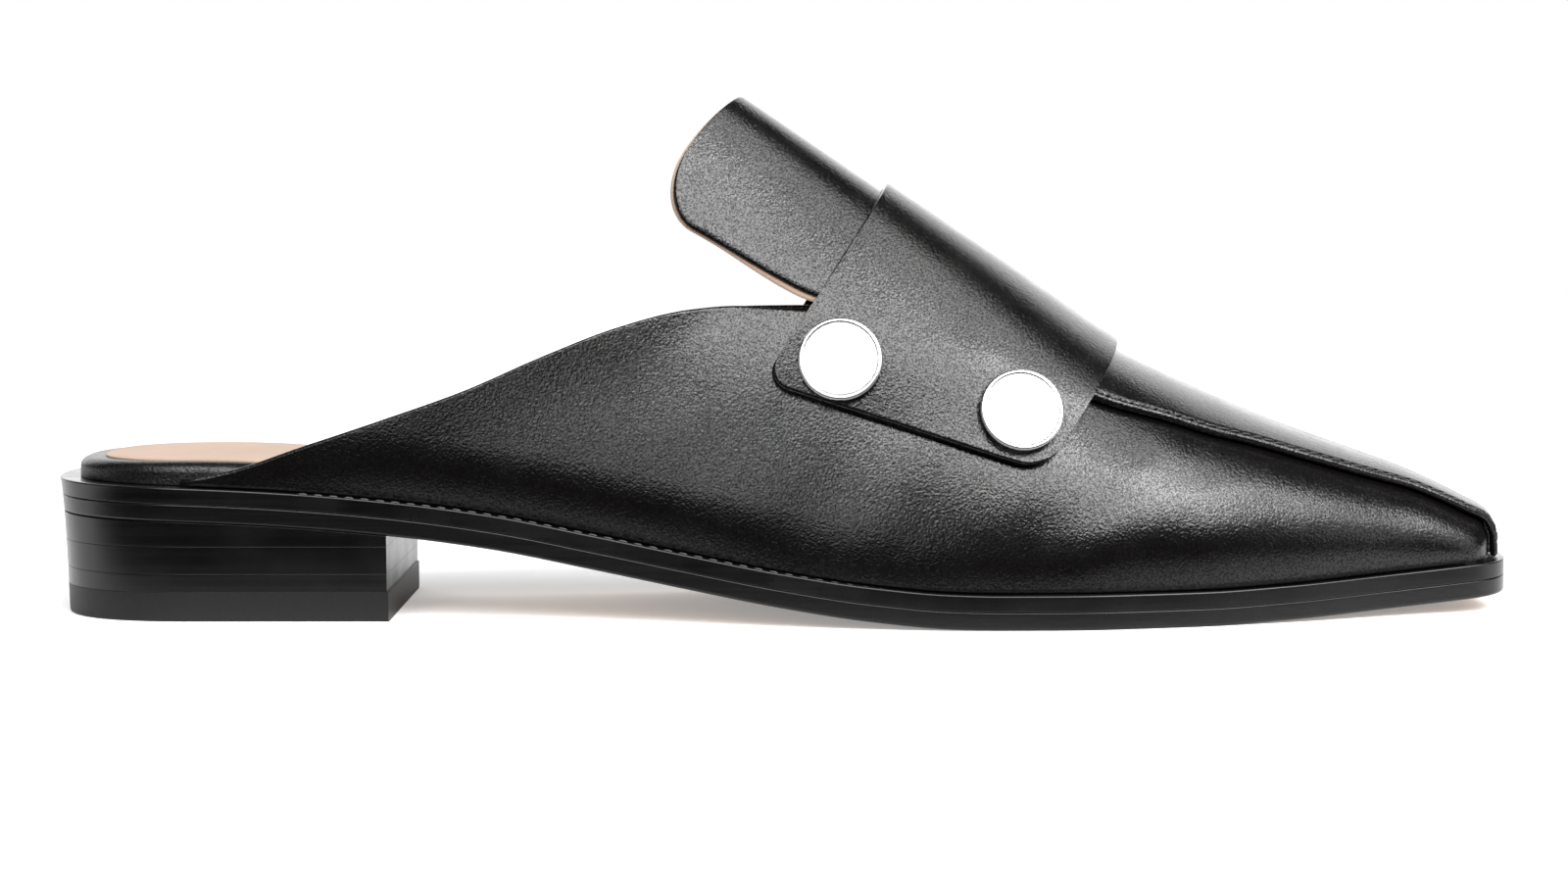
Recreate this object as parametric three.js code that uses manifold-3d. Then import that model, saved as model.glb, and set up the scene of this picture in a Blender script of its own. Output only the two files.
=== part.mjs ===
// A right backless loafer mule with an elongated square toe, a low stacked heel, a raised apron
// that runs back into a standing tongue, and a wide instep strap held by two snap caps.
//
// Millimetres. +X runs from heel to toe, +Z is up, -Y is the outer (lateral) side of the foot.
// The group is centred in X and Y at the end, with the ground at Z = 0.

import * as THREE from 'three';
import { mergeVertices } from 'three/addons/utils/BufferGeometryUtils.js';
import Module from 'manifold-3d';

const manifoldLibrary = await Module();
manifoldLibrary.setup();

// ---- driving dimensions ----

const SHOE_LENGTH = 280.5;
const BALL_WIDTH = 82;
const HEEL_RISE = 26;
const INSTEP_RISE = 97.5;

const MIDSOLE = 3;
const OUTSOLE = 3.2;
const GAP = 0.3;
const SOLE = OUTSOLE + GAP + MIDSOLE;
const LEDGE = 2.2;
const INSOLE_TOE_ROOM = 1.5;
const INSOLE_BACK = 3.9;

const UPPER_WALL = 2;
const APRON_WALL = 1.6;
const STRAP_WALL = 1.7;
const STRAP_LIFT = 0.5;

const BREAST = 65.7;
const TOP_PIECE = 5.6;
const LOWER_LIFT = 9;
const MIDDLE_LIFT = 14.2;
const TOP_PIECE_PROUD = 0.3;
const HEEL_TAPER = { side: 1, back: 1.3 };

const STUD_RADIUS = 7.85;
const STUD_HEIGHT = 1.9;
const STUD_SEAT = 0.7;
const POST_RADIUS = 2;
const POST_LENGTH = 1.2;

// ---- sole tables ----

// Plan of the sole: at = percent of the length from the back of the heel,
// lateral and medial = half-widths from the centre line, percent of the ball width.
const plan = [
  { at: 10.5, lateral: 34.5, medial: 34.5 },
  { at: 23.5, lateral: 34.4, medial: 32.4 },
  { at: 32.0, lateral: 35.8, medial: 31.0 },
  { at: 40.0, lateral: 38.6, medial: 31.4 },
  { at: 48.0, lateral: 43.4, medial: 36.3 },
  { at: 55.0, lateral: 47.4, medial: 43.0 },
  { at: 62.0, lateral: 49.3, medial: 48.4 },
  { at: 68.5, lateral: 48.8, medial: 50.6 },
  { at: 75.5, lateral: 44.2, medial: 48.6 },
  { at: 83.5, lateral: 35.4, medial: 41.0 },
  { at: 91.5, lateral: 24.8, medial: 32.4 },
  { at: 96.5, lateral: 19.2, medial: 27.0 },
];

// Side view of the sole: rise = height of its underside, percent of the heel's.
const underside = [
  { at: 0.0, rise: 100 },
  { at: 11.0, rise: 95.5 },
  { at: 17.5, rise: 90.5 },
  { at: 23.5, rise: 83 },
  { at: 30.5, rise: 70.5 },
  { at: 37.0, rise: 53 },
  { at: 43.5, rise: 35 },
  { at: 50.0, rise: 18.5 },
  { at: 56.0, rise: 7 },
  { at: 61.0, rise: 1.2 },
  { at: 64.5, rise: 0 },
  { at: 78.0, rise: 0 },
  { at: 84.0, rise: 2.6 },
  { at: 90.0, rise: 7.5 },
  { at: 97.0, rise: 14.5 },
  { at: 100.0, rise: 18 },
];

const HEEL_END = { centre: 10.5, square: 2.5 };
const TOE_END = { centre: 96.5, square: 3.2, taper: 0.19 };

// ---- upper tables ----

// Sections of the upper, each in a plane that leans forward from foot to ridge.
// foot and ridge = places on the feather line and on the top line, percent of the length,
// height = ridge height, percent of the instep rise, outer and inner = how far the lateral and
// medial walls stand out past the feather line, square = exponent of the arch, taper = how much
// the arch narrows towards its ridge, apron = half-width of the apron.
const sections = [
  { foot: 7.0, ridge: 25.7, height: 139.2, outer: 0.6, inner: 0.6, square: 2.05, taper: 0, apron: 19.9 },
  { foot: 17.8, ridge: 36.2, height: 119.6, outer: 1.4, inner: 1.6, square: 2.05, taper: 0, apron: 19.9 },
  { foot: 28.5, ridge: 46.6, height: 100.0, outer: 2.4, inner: 3.6, square: 2.05, taper: 0, apron: 19.9 },
  { foot: 41.5, ridge: 56.4, height: 80.9, outer: 2.4, inner: 5.6, square: 2.15, taper: 0, apron: 22.9 },
  { foot: 52.0, ridge: 64.6, height: 65.1, outer: 1.2, inner: 4.0, square: 2.2, taper: 0, apron: 24.4 },
  { foot: 63.0, ridge: 72.8, height: 49.4, outer: 0.8, inner: 1.4, square: 2.2, taper: 0, apron: 24.5 },
  { foot: 72.5, ridge: 78.4, height: 41.7, outer: 1.1, inner: 1.3, square: 2.2, taper: 0, apron: 22.8 },
  { foot: 81.0, ridge: 83.9, height: 35.1, outer: 1.5, inner: 1.5, square: 2.35, taper: 0, apron: 19.2 },
  { foot: 88.2, ridge: 89.3, height: 29.5, outer: 1.6, inner: 1.6, square: 2.45, taper: 0, apron: 15.8 },
  { foot: 93.2, ridge: 93.3, height: 25.4, outer: 1.3, inner: 1.3, square: 2.6, taper: 0.02, apron: 13.2 },
  { foot: 95.4, ridge: 97.0, height: 20.2, outer: 0.6, inner: 0.6, square: 2.75, taper: 0.06, apron: 12 },
  { foot: 96.1, ridge: 98.4, height: 17.8, outer: 0.2, inner: 0.2, square: 2.9, taper: 0.12, apron: 11.4 },
  { foot: 96.4, ridge: 98.9, height: 14.2, outer: 0, inner: 0, square: 3.05, taper: 0.16, apron: 11 },
  { foot: 96.5, ridge: 98.9, height: 10.25, outer: 0, inner: 0, square: 3.2, taper: 0.19, apron: 11 },
];
const TONGUE_ROW = 2;

// The height over which the walls come back in to the feather line.
const SWELL_HEIGHT = 14;

// Top line of the quarters in the side view: at = percent of the length, height in millimetres
// on the lateral side, drop = how much lower the medial side is.
const topLine = [
  { at: 7.5, height: 25.7, drop: 4.6 },
  { at: 12.5, height: 28.1, drop: 4.6 },
  { at: 18.0, height: 33.2, drop: 4.4 },
  { at: 23.0, height: 37.9, drop: 4.0 },
  { at: 28.5, height: 43.4, drop: 3.6 },
  { at: 34.0, height: 50.2, drop: 3.2 },
  { at: 39.0, height: 55.6, drop: 2.8 },
  { at: 43.5, height: 58.8, drop: 2.4 },
  { at: 47.0, height: 59.8, drop: 2.0 },
  { at: 50.0, height: 59.1, drop: 1.2 },
  { at: 53.0, height: 58.4, drop: 0.4 },
  { at: 58.0, height: 58.8, drop: 0 },
  { at: 70.0, height: 61.5, drop: 0 },
];

// Footbed on the midsole: thick = its thickness.
const footbed = [
  { at: 0, thick: 3.6 },
  { at: 7, thick: 4.3 },
  { at: 15, thick: 4.9 },
  { at: 30, thick: 4.6 },
  { at: 50, thick: 4.0 },
  { at: 100, thick: 3.2 },
];

// Strap: distances along the ridge from the tongue's back edge, and the depth of its two ends
// below the ridge, at its rear and front edges. lean = how far the front edge runs in at the end.
// Its underside steps down from the apron to the quarter between stepStart and stepEnd outside
// the apron's edge.
const strap = {
  rear: 33,
  front: 86.8,
  rearDepth: 43.2,
  frontDepth: 27,
  frontLean: 0.8,
  corner: 5,
  stepStart: 0.6,
  stepEnd: 9,
};
const TONGUE_CORNER = 9;
const TONGUE_REACH = 31;
const TONGUE_BOW = 2.4;

// Snap caps: along = distance from the strap's rear edge, depth = distance below its ridge.
const studs = [
  { name: 'stud_rear', along: 10, depth: 32.2 },
  { name: 'stud_front', along: 43.4, depth: 20.9 },
];

// Half of a cap's outline above its seat: inset = distance in from its rim.
const capProfile = [
  { inset: 0.7, height: 0 },
  { inset: 0.1, height: 0.35 },
  { inset: 0, height: 1.05 },
  { inset: 0.5, height: 1.6 },
  { inset: 2.2, height: 1.73 },
  { inset: 4.9, height: 1.86 },
  { inset: STUD_RADIUS, height: STUD_HEIGHT },
];

// ---- how finely the forms are divided ----

const STEPS = {
  soleEnd: 12,
  soleSide: 30,
  quarter: 18,
  vamp: 14,
  wall: 11,
  tongue: 18,
  apron: 14,
  strapAlong: 5,
  strapAcross: 26,
  hole: 20,
  cap: 28,
};

// Distances along the ridge where the toe is divided closely, and shares of the strap's width
// and distances from the tongue's edge where their corners are.
const TOE_PLACES = [150, 154, 158, 161.5, 165, 168, 171];
const STRAP_CORNER_SHARES = [0, 0.012, 0.035, 0.065, 0.1];
const TONGUE_CORNER_PLACES = [0, 0.6, 1.8, 3.6, 5.8];

const WELD_DISTANCE = 1e-4;
const SLIVER_AREA = 1e-7;
const HALVINGS = 40;

// ---- curves through the tables ----

// A smooth curve through one column against another that never overshoots its rows.
function curve(rows, key, column) {
  const x = rows.map((row) => row[key]);
  const y = rows.map((row) => row[column]);
  const slope = x.slice(1).map((end, i) => (y[i + 1] - y[i]) / (end - x[i]));
  const tangent = x.map((_, i) => {
    if (i === 0) return slope[0];
    if (i === slope.length) return slope[i - 1];
    if (slope[i - 1] * slope[i] <= 0) return 0;
    const before = x[i] - x[i - 1];
    const after = x[i + 1] - x[i];
    const total = 3 * (before + after);
    return total / ((2 * after + before) / slope[i - 1] + (after + 2 * before) / slope[i]);
  });
  return (at) => {
    const here = THREE.MathUtils.clamp(at, x[0], x[x.length - 1]);
    const i = Math.max(0, x.findIndex((end) => end >= here) - 1);
    const width = x[i + 1] - x[i];
    const u = (here - x[i]) / width;
    const toEnd = u * u * (3 - 2 * u);
    return y[i] + (y[i + 1] - y[i]) * toEnd
      + width * u * (1 - u) * (tangent[i] * (1 - u) - tangent[i + 1] * u);
  };
}

const percentOf = (whole) => (value) => (value * whole) / 100;
const lengthwise = percentOf(SHOE_LENGTH);
const widthwise = percentOf(BALL_WIDTH);

function lengthCurve(rows, column, scale = (value) => value) {
  const through = curve(rows, 'at', column);
  return (x) => scale(through((x * 100) / SHOE_LENGTH));
}

const soleLateral = lengthCurve(plan, 'lateral', widthwise);
const soleMedial = lengthCurve(plan, 'medial', widthwise);
const soleBottom = lengthCurve(underside, 'rise', percentOf(HEEL_RISE - SOLE));
const soleTop = (x) => soleBottom(x) + SOLE;
const footbedThickness = lengthCurve(footbed, 'thick');
const topLineHeight = lengthCurve(topLine, 'height');
const topLineDrop = lengthCurve(topLine, 'drop');

// ---- meshes from rings and grids ----

// Welds a soup of triangles into one closed geometry that faces outwards.
function solid(triangles) {
  const kept = [];
  for (const [a, b, c] of triangles) {
    if (new THREE.Triangle(a, b, c).getArea() > SLIVER_AREA) kept.push(a, b, c);
  }
  const soup = new THREE.BufferGeometry().setFromPoints(kept);
  const volume = kept.reduce((sum, point, i) => (
    i % 3 ? sum : sum + point.dot(kept[i + 1].clone().cross(kept[i + 2]))
  ), 0);
  const closed = mergeVertices(soup, WELD_DISTANCE);
  if (volume < 0) closed.setIndex([...closed.index.array].reverse());
  return closed;
}

function quad(triangles, a, b, c, d) {
  triangles.push([a, b, c], [a, c, d]);
}

// A solid through closed rings of equal size, with flat ends.
function loft(rings) {
  const triangles = [];
  for (let i = 0; i + 1 < rings.length; i += 1) {
    rings[i].forEach((point, j) => {
      const next = (j + 1) % rings[i].length;
      quad(triangles, point, rings[i][next], rings[i + 1][next], rings[i + 1][j]);
    });
  }
  const last = rings[rings.length - 1];
  for (let j = 1; j + 1 < last.length; j += 1) {
    triangles.push([rings[0][0], rings[0][j + 1], rings[0][j]], [last[0], last[j], last[j + 1]]);
  }
  return solid(triangles);
}

// The wall between an outer and an inner grid of points, with its four rims.
// The rim along the last column stops at row openRows, where another wall takes over.
function wall(outer, inner, openRows = outer.length) {
  const triangles = [];
  const rows = outer.length - 1;
  const columns = outer[0].length - 1;
  for (let i = 0; i < rows; i += 1) {
    for (let j = 0; j < columns; j += 1) {
      quad(triangles, outer[i][j], outer[i + 1][j], outer[i + 1][j + 1], outer[i][j + 1]);
      quad(triangles, inner[i][j], inner[i][j + 1], inner[i + 1][j + 1], inner[i + 1][j]);
    }
    quad(triangles, outer[i][0], inner[i][0], inner[i + 1][0], outer[i + 1][0]);
    if (i + 1 < openRows) {
      quad(triangles, outer[i][columns], outer[i + 1][columns], inner[i + 1][columns], inner[i][columns]);
    }
  }
  for (let j = 0; j < columns; j += 1) {
    quad(triangles, outer[0][j], outer[0][j + 1], inner[0][j + 1], inner[0][j]);
    quad(triangles, outer[rows][j], inner[rows][j], inner[rows][j + 1], outer[rows][j + 1]);
  }
  return triangles;
}

const range = (count) => Array.from({ length: count + 1 }, (_, i) => i / count);
const lerp = THREE.MathUtils.lerp;

// ---- sole, heel and insole ----

// Places across the sole from back to toe, drawn in by an inset: a blunt superellipse round the
// back of the heel, the plan table along the sides, and a squarer one round the toe.
function outline(inset, { backInset = inset, toeInset = inset, end = SHOE_LENGTH } = {}) {
  const heelCentre = lengthwise(HEEL_END.centre);
  const toeCentre = lengthwise(TOE_END.centre);
  const across = (x, keep, widthAt = x) => ({
    x,
    lateral: centreAt(widthAt) - (halfWidthAt(widthAt) - inset) * keep,
    medial: centreAt(widthAt) + (halfWidthAt(widthAt) - inset) * keep,
  });
  const places = [];
  for (const u of range(STEPS.soleEnd)) {
    const angle = (u * Math.PI) / 2;
    const reach = Math.cos(angle) ** (2 / HEEL_END.square);
    const keep = Math.sin(angle) ** (2 / HEEL_END.square);
    places.push(across(heelCentre - reach * (heelCentre - backInset), keep, heelCentre));
  }
  const straightEnd = Math.min(end, toeCentre);
  for (const u of range(STEPS.soleSide).slice(1)) {
    places.push(across(lerp(heelCentre, straightEnd, u), 1));
  }
  if (end <= toeCentre) return places;
  for (const u of range(STEPS.soleEnd).slice(1)) {
    const angle = (u * Math.PI) / 2;
    const reach = Math.sin(angle) ** (2 / TOE_END.square);
    const keep = Math.cos(angle) ** (2 / TOE_END.square) * (1 - TOE_END.taper * reach);
    places.push(across(toeCentre + reach * (SHOE_LENGTH - toeInset - toeCentre), keep, toeCentre));
  }
  return places;
}

function centreAt(x) {
  return (soleMedial(x) - soleLateral(x)) / 2;
}

function halfWidthAt(x) {
  return (soleMedial(x) + soleLateral(x)) / 2;
}

// A layer between a lower and an upper outline, at heights that depend on x only.
function layer(lower, lowerHeight, upper, upperHeight) {
  return loft(lower.map((low, i) => {
    const high = upper[i];
    return [
      new THREE.Vector3(low.x, low.lateral, lowerHeight(low.x)),
      new THREE.Vector3(high.x, high.lateral, upperHeight(high.x)),
      new THREE.Vector3(high.x, high.medial, upperHeight(high.x)),
      new THREE.Vector3(low.x, low.medial, lowerHeight(low.x)),
    ];
  }));
}

function outsole() {
  const edge = outline(0);
  return layer(edge, soleBottom, edge, (x) => soleBottom(x) + OUTSOLE);
}

function midsole() {
  const edge = outline(0);
  return layer(edge, (x) => soleTop(x) - MIDSOLE, edge, soleTop);
}

function insole() {
  const inset = LEDGE + UPPER_WALL + GAP;
  const edge = outline(inset, { backInset: INSOLE_BACK, toeInset: inset + INSOLE_TOE_ROOM });
  const low = (x) => soleTop(x) + GAP;
  return layer(edge, low, edge, (x) => soleTop(x) + footbedThickness(x));
}

// The heel's outline draws in towards the ground.
function heelOutline(height, breast = BREAST) {
  const drawnIn = 1 - height / HEEL_RISE;
  return outline(HEEL_TAPER.side * drawnIn, { backInset: HEEL_TAPER.back * drawnIn, end: breast });
}

function heelLift(from, to, breast) {
  return layer(heelOutline(from, breast), () => from, heelOutline(to, breast), () => to);
}

function heelWedge() {
  const top = heelOutline(HEEL_RISE - SOLE);
  return layer(heelOutline(MIDDLE_LIFT), () => MIDDLE_LIFT, top, (x) => soleBottom(x) - GAP);
}

// ---- upper ----

// Section rows in millimetres, each with its distance along the ridge from the tongue's edge.
function measureSections() {
  const rows = sections.map((row) => ({
    ...row,
    footX: lengthwise(row.foot),
    ridgeX: lengthwise(row.ridge),
    ridgeZ: percentOf(INSTEP_RISE)(row.height),
  }));
  let distance = 0;
  rows.forEach((row, i) => {
    const before = rows[Math.max(0, i - 1)];
    distance += Math.hypot(row.ridgeX - before.ridgeX, row.ridgeZ - before.ridgeZ);
    row.distance = distance;
  });
  const start = rows[TONGUE_ROW].distance;
  return rows.map((row) => ({ ...row, distance: row.distance - start }));
}

const sectionRows = measureSections();
const TOE_DISTANCE = sectionRows[sectionRows.length - 1].distance;
const SECTION_COLUMNS = ['footX', 'ridgeX', 'ridgeZ', 'outer', 'inner', 'square', 'taper', 'apron'];
const sectionCurves = Object.fromEntries(
  SECTION_COLUMNS.map((column) => [column, curve(sectionRows, 'distance', column)]),
);

// The section at a distance along the ridge, with its widths from the centre line.
function sectionAt(distance) {
  const row = Object.fromEntries(
    Object.entries(sectionCurves).map(([column, through]) => [column, through(distance)]),
  );
  const footLateral = soleLateral(row.footX) - LEDGE;
  const footMedial = soleMedial(row.footX) - LEDGE;
  const foot = new THREE.Vector2(row.footX, soleTop(row.footX) + GAP);
  const ridge = new THREE.Vector2(row.ridgeX, row.ridgeZ);
  const lateral = footLateral + row.outer;
  const medial = footMedial + row.inner;
  return {
    ...row,
    foot,
    rise: ridge.distanceTo(foot),
    up: ridge.clone().sub(foot).normalize(),
    centre: (medial - lateral) / 2,
    half: (medial + lateral) / 2,
    footHalf: { [-1]: (medial - lateral) / 2 + footLateral, [1]: footMedial - (medial - lateral) / 2 },
  };
}

// A point on a form that stands out from the upper's face: angle runs from 0 at the feather line
// to a quarter turn at the ridge, side is -1 on the lateral half and 1 on the medial half.
function skin(section, side, angle, out) {
  const across = Math.max(0, Math.cos(angle)) ** (2 / section.square);
  const climb = Math.sin(angle) ** (2 / section.square);
  const rise = section.rise + out;
  const half = section.half + out;
  const swell = half - (section.footHalf[side] + out);
  const swellTop = Math.min(0.5, SWELL_HEIGHT / section.rise);
  const pinch = climb < swellTop ? swell * (1 - climb / swellTop) ** 2 : 0;
  const width = half * across * (1 - section.taper * climb) - pinch;
  return new THREE.Vector3(
    section.foot.x + section.up.x * rise * climb,
    section.centre + side * width,
    section.foot.y + section.up.y * rise * climb,
  );
}

const climbAngle = (section, climb) => Math.asin(climb ** (section.square / 2));

// The share of a section's rise at which it crosses the top line of the quarters.
function topLineClimb(section, side) {
  let low = 0;
  let high = 1;
  const above = (climb) => {
    const x = section.foot.x + section.up.x * section.rise * climb;
    const z = section.foot.y + section.up.y * section.rise * climb;
    const drop = side > 0 ? topLineDrop(x) : 0;
    return z - (topLineHeight(x) - drop);
  };
  if (above(1) <= 0) return 1;
  for (let i = 0; i < HALVINGS; i += 1) {
    const middle = (low + high) / 2;
    if (above(middle) > 0) high = middle;
    else low = middle;
  }
  return (low + high) / 2;
}

// The distance at which a test on the section turns true.
function distanceWhere(from, to, test) {
  let low = from;
  let high = to;
  for (let i = 0; i < HALVINGS; i += 1) {
    const middle = (low + high) / 2;
    if (test(sectionAt(middle))) high = middle;
    else low = middle;
  }
  return high;
}

const SHORTEST_QUARTER = 1.2;

// Distances along the ridge from a start to the tip of the toe.
function placesToToe(start, count) {
  return [...range(count).map((u) => lerp(start, TOE_PLACES[0], u)), ...TOE_PLACES.slice(1), TOE_DISTANCE];
}

function upper() {
  const throat = distanceWhere(0, strap.front, (section) => topLineClimb(section, -1) >= 1);
  const vamp = placesToToe(throat, STEPS.vamp);
  const halves = [-1, 1].map((side) => {
    const rear = distanceWhere(sectionRows[0].distance, 0, (section) => (
      topLineClimb(section, side) * section.rise > SHORTEST_QUARTER
    ));
    const quarter = range(STEPS.quarter).slice(0, -1).map((u) => (
      lerp(rear, throat, Math.sin((u * Math.PI) / 2))
    ));
    const places = [...quarter, ...vamp].map((distance) => {
      const section = sectionAt(distance);
      return { section, top: climbAngle(section, topLineClimb(section, side)) };
    });
    const grid = (out) => places.map(({ section, top }) => (
      range(STEPS.wall).map((v) => skin(section, side, v * top, out))
    ));
    return wall(grid(0), grid(-UPPER_WALL), quarter.length + 1);
  });
  // The medial half is a mirror image in its winding, so each of its triangles is turned over.
  const [lateral, medial] = halves;
  return solid([...lateral, ...medial.map(([a, b, c]) => [a, c, b])]);
}

// ---- tongue and strap ----

// How much a rounded corner takes off an edge, this far from the corner's side.
function cornerCut(distance, radius) {
  const short = Math.max(0, radius - distance);
  return radius - Math.sqrt(radius * radius - short * short);
}

const apronAngle = (section, half) => Math.acos((half / section.half) ** (section.square / 2));

function tongue() {
  const along = [...TONGUE_CORNER_PLACES, ...placesToToe(TONGUE_CORNER, STEPS.tongue)];
  const grid = (out) => along.map((distance) => {
    const kept = 1 - cornerCut(distance, TONGUE_CORNER) / TONGUE_REACH;
    const bow = TONGUE_BOW * Math.max(0, 1 - distance / strap.rear);
    return range(STEPS.apron).map((u) => {
      const reach = Math.abs(2 * u - 1);
      const section = sectionAt(distance - bow * THREE.MathUtils.smoothstep(reach, 0, 1));
      const edge = lerp(Math.PI / 2, apronAngle(section, section.apron), kept);
      return skin(section, u < 0.5 ? -1 : 1, lerp(Math.PI / 2, edge, reach), out);
    });
  });
  return solid(wall(grid(GAP + APRON_WALL), grid(GAP)));
}

// How far the strap's underside stands out: over the apron, then down onto the quarter.
function strapUnderside(section, angle) {
  const beside = section.half * Math.cos(angle) ** (2 / section.square) - section.apron;
  const down = THREE.MathUtils.smoothstep(beside, strap.stepStart, strap.stepEnd);
  return lerp(APRON_WALL + 2 * GAP, STRAP_LIFT, down);
}

// A point of the strap: along runs 0 to 1 from its rear edge to its front edge, and
// across runs from -1 at the lateral end to 1 at the medial end.
function strapPoint(along, across, out) {
  const reach = Math.abs(across);
  const front = strap.front - strap.frontLean * reach ** 2;
  const distance = lerp(strap.rear, front, along);
  const section = sectionAt(distance);
  const fromEdge = Math.min(distance - strap.rear, front - distance);
  const depth = lerp(strap.rearDepth, strap.frontDepth, along) - cornerCut(fromEdge, strap.corner);
  const end = climbAngle(section, 1 - depth / (section.rise + GAP + APRON_WALL + STRAP_WALL));
  const angle = lerp(Math.PI / 2, end, reach);
  return skin(section, Math.sign(across) || 1, angle, strapUnderside(section, angle) + out);
}

const HOLE_LENGTH = 12;

function strapBand() {
  const corner = STRAP_CORNER_SHARES[STRAP_CORNER_SHARES.length - 1];
  const along = [
    ...STRAP_CORNER_SHARES,
    ...range(STEPS.strapAlong).slice(1, -1).map((u) => lerp(corner, 1 - corner, u)),
    ...STRAP_CORNER_SHARES.map((u) => 1 - u).reverse(),
  ];
  const grid = (out) => along.map((u) => (
    range(STEPS.strapAcross).map((v) => strapPoint(u, 2 * v - 1, out))
  ));
  const band = solid(wall(grid(STRAP_WALL), grid(0)));
  const holes = studs.map(({ along: place, depth }) => {
    const hole = new THREE.CylinderGeometry(POST_RADIUS + GAP, POST_RADIUS + GAP, HOLE_LENGTH, STEPS.hole);
    return hole.rotateX(Math.PI / 2).applyMatrix4(studPlace(place, depth));
  });
  return cutAway(band, holes);
}

const SMALL_TURN = 0.02;

// The place of a snap cap: its own +Z stands square off the strap.
function studPlace(along, depth) {
  const section = sectionAt(strap.rear + along);
  const angle = climbAngle(section, 1 - depth / (section.rise + GAP + APRON_WALL + STRAP_WALL));
  const at = (distance, turn) => {
    const here = sectionAt(distance);
    return skin(here, -1, turn, strapUnderside(here, turn) + STRAP_WALL);
  };
  const centre = at(strap.rear + along, angle);
  const forward = at(strap.rear + along + 1, angle).sub(centre).normalize();
  const upward = at(strap.rear + along, angle + SMALL_TURN).sub(centre).normalize();
  const outward = forward.clone().cross(upward).normalize();
  if (outward.y > 0) outward.negate();
  const sideways = upward.clone().cross(outward).normalize();
  return new THREE.Matrix4()
    .makeBasis(sideways, outward.clone().cross(sideways), outward)
    .setPosition(centre);
}

// A domed cap with a rolled rim, and a post that fills the strap's hole.
function stud(along, depth) {
  const post = [[0, -POST_LENGTH], [POST_RADIUS, -POST_LENGTH], [POST_RADIUS, STUD_SEAT]];
  const cap = capProfile.map(({ inset, height }) => [STUD_RADIUS - inset, STUD_SEAT + height]);
  const profile = [...post, ...cap].map(([radius, height]) => new THREE.Vector2(radius, height));
  const turned = new THREE.LatheGeometry(profile, STEPS.cap).rotateX(Math.PI / 2);
  return welded(turned.applyMatrix4(studPlace(along, depth)));
}

// ---- booleans ----

// One closed solid from a ready-made form.
function welded(geometry) {
  const bare = geometry.clone();
  bare.deleteAttribute('normal');
  bare.deleteAttribute('uv');
  const merged = mergeVertices(bare, WELD_DISTANCE);
  const corners = merged.index.array;
  const point = (i) => new THREE.Vector3().fromBufferAttribute(merged.attributes.position, corners[i]);
  const triangles = [];
  for (let i = 0; i < corners.length; i += 3) triangles.push([point(i), point(i + 1), point(i + 2)]);
  return solid(triangles);
}

function toManifold(geometry) {
  return new manifoldLibrary.Manifold(new manifoldLibrary.Mesh({
    numProp: 3,
    vertProperties: new Float32Array(geometry.attributes.position.array),
    triVerts: new Uint32Array(geometry.index.array),
  }));
}

// A solid with others cut out of it.
function cutAway(geometry, cutters) {
  let body = toManifold(geometry);
  for (const cutter of cutters) body = body.subtract(toManifold(welded(cutter)));
  const mesh = body.getMesh();
  const cut = new THREE.BufferGeometry();
  cut.setAttribute('position', new THREE.BufferAttribute(mesh.vertProperties, 3));
  cut.setIndex([...mesh.triVerts]);
  return cut;
}

// ---- assembly ----

const finishes = {
  edge: { color: 0x1b1a1a, roughness: 0.5, metalness: 0 },
  heel: { color: 0x1a1817, roughness: 0.45, metalness: 0 },
  topPiece: { color: 0x262524, roughness: 0.7, metalness: 0 },
  footbed: { color: 0x161515, roughness: 0.5, metalness: 0 },
  leather: { color: 0x171616, roughness: 0.42, metalness: 0 },
  cap: { color: 0xe6e6e8, roughness: 0.16, metalness: 1 },
};

function piece(name, geometry, finish) {
  geometry.computeVertexNormals();
  const mesh = new THREE.Mesh(geometry, new THREE.MeshStandardMaterial(finishes[finish]));
  mesh.name = name;
  return mesh;
}

const shoe = new THREE.Group();
shoe.add(
  piece('outsole', outsole(), 'edge'),
  piece('midsole', midsole(), 'edge'),
  piece('heel_lift_upper', heelWedge(), 'heel'),
  piece('heel_lift_middle', heelLift(LOWER_LIFT, MIDDLE_LIFT), 'heel'),
  piece('heel_lift_lower', heelLift(TOP_PIECE, LOWER_LIFT), 'heel'),
  piece('heel_top_piece', heelLift(0, TOP_PIECE, BREAST + TOP_PIECE_PROUD), 'topPiece'),
  piece('insole', insole(), 'footbed'),
  piece('upper', upper(), 'leather'),
  piece('tongue', tongue(), 'leather'),
  piece('strap', strapBand(), 'leather'),
  ...studs.map(({ name, along, depth }) => piece(name, stud(along, depth), 'cap')),
);

const box = new THREE.Box3().setFromObject(shoe);
shoe.position.set(-(box.min.x + box.max.x) / 2, -(box.min.y + box.max.y) / 2, -box.min.z);

export default shoe;
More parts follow.
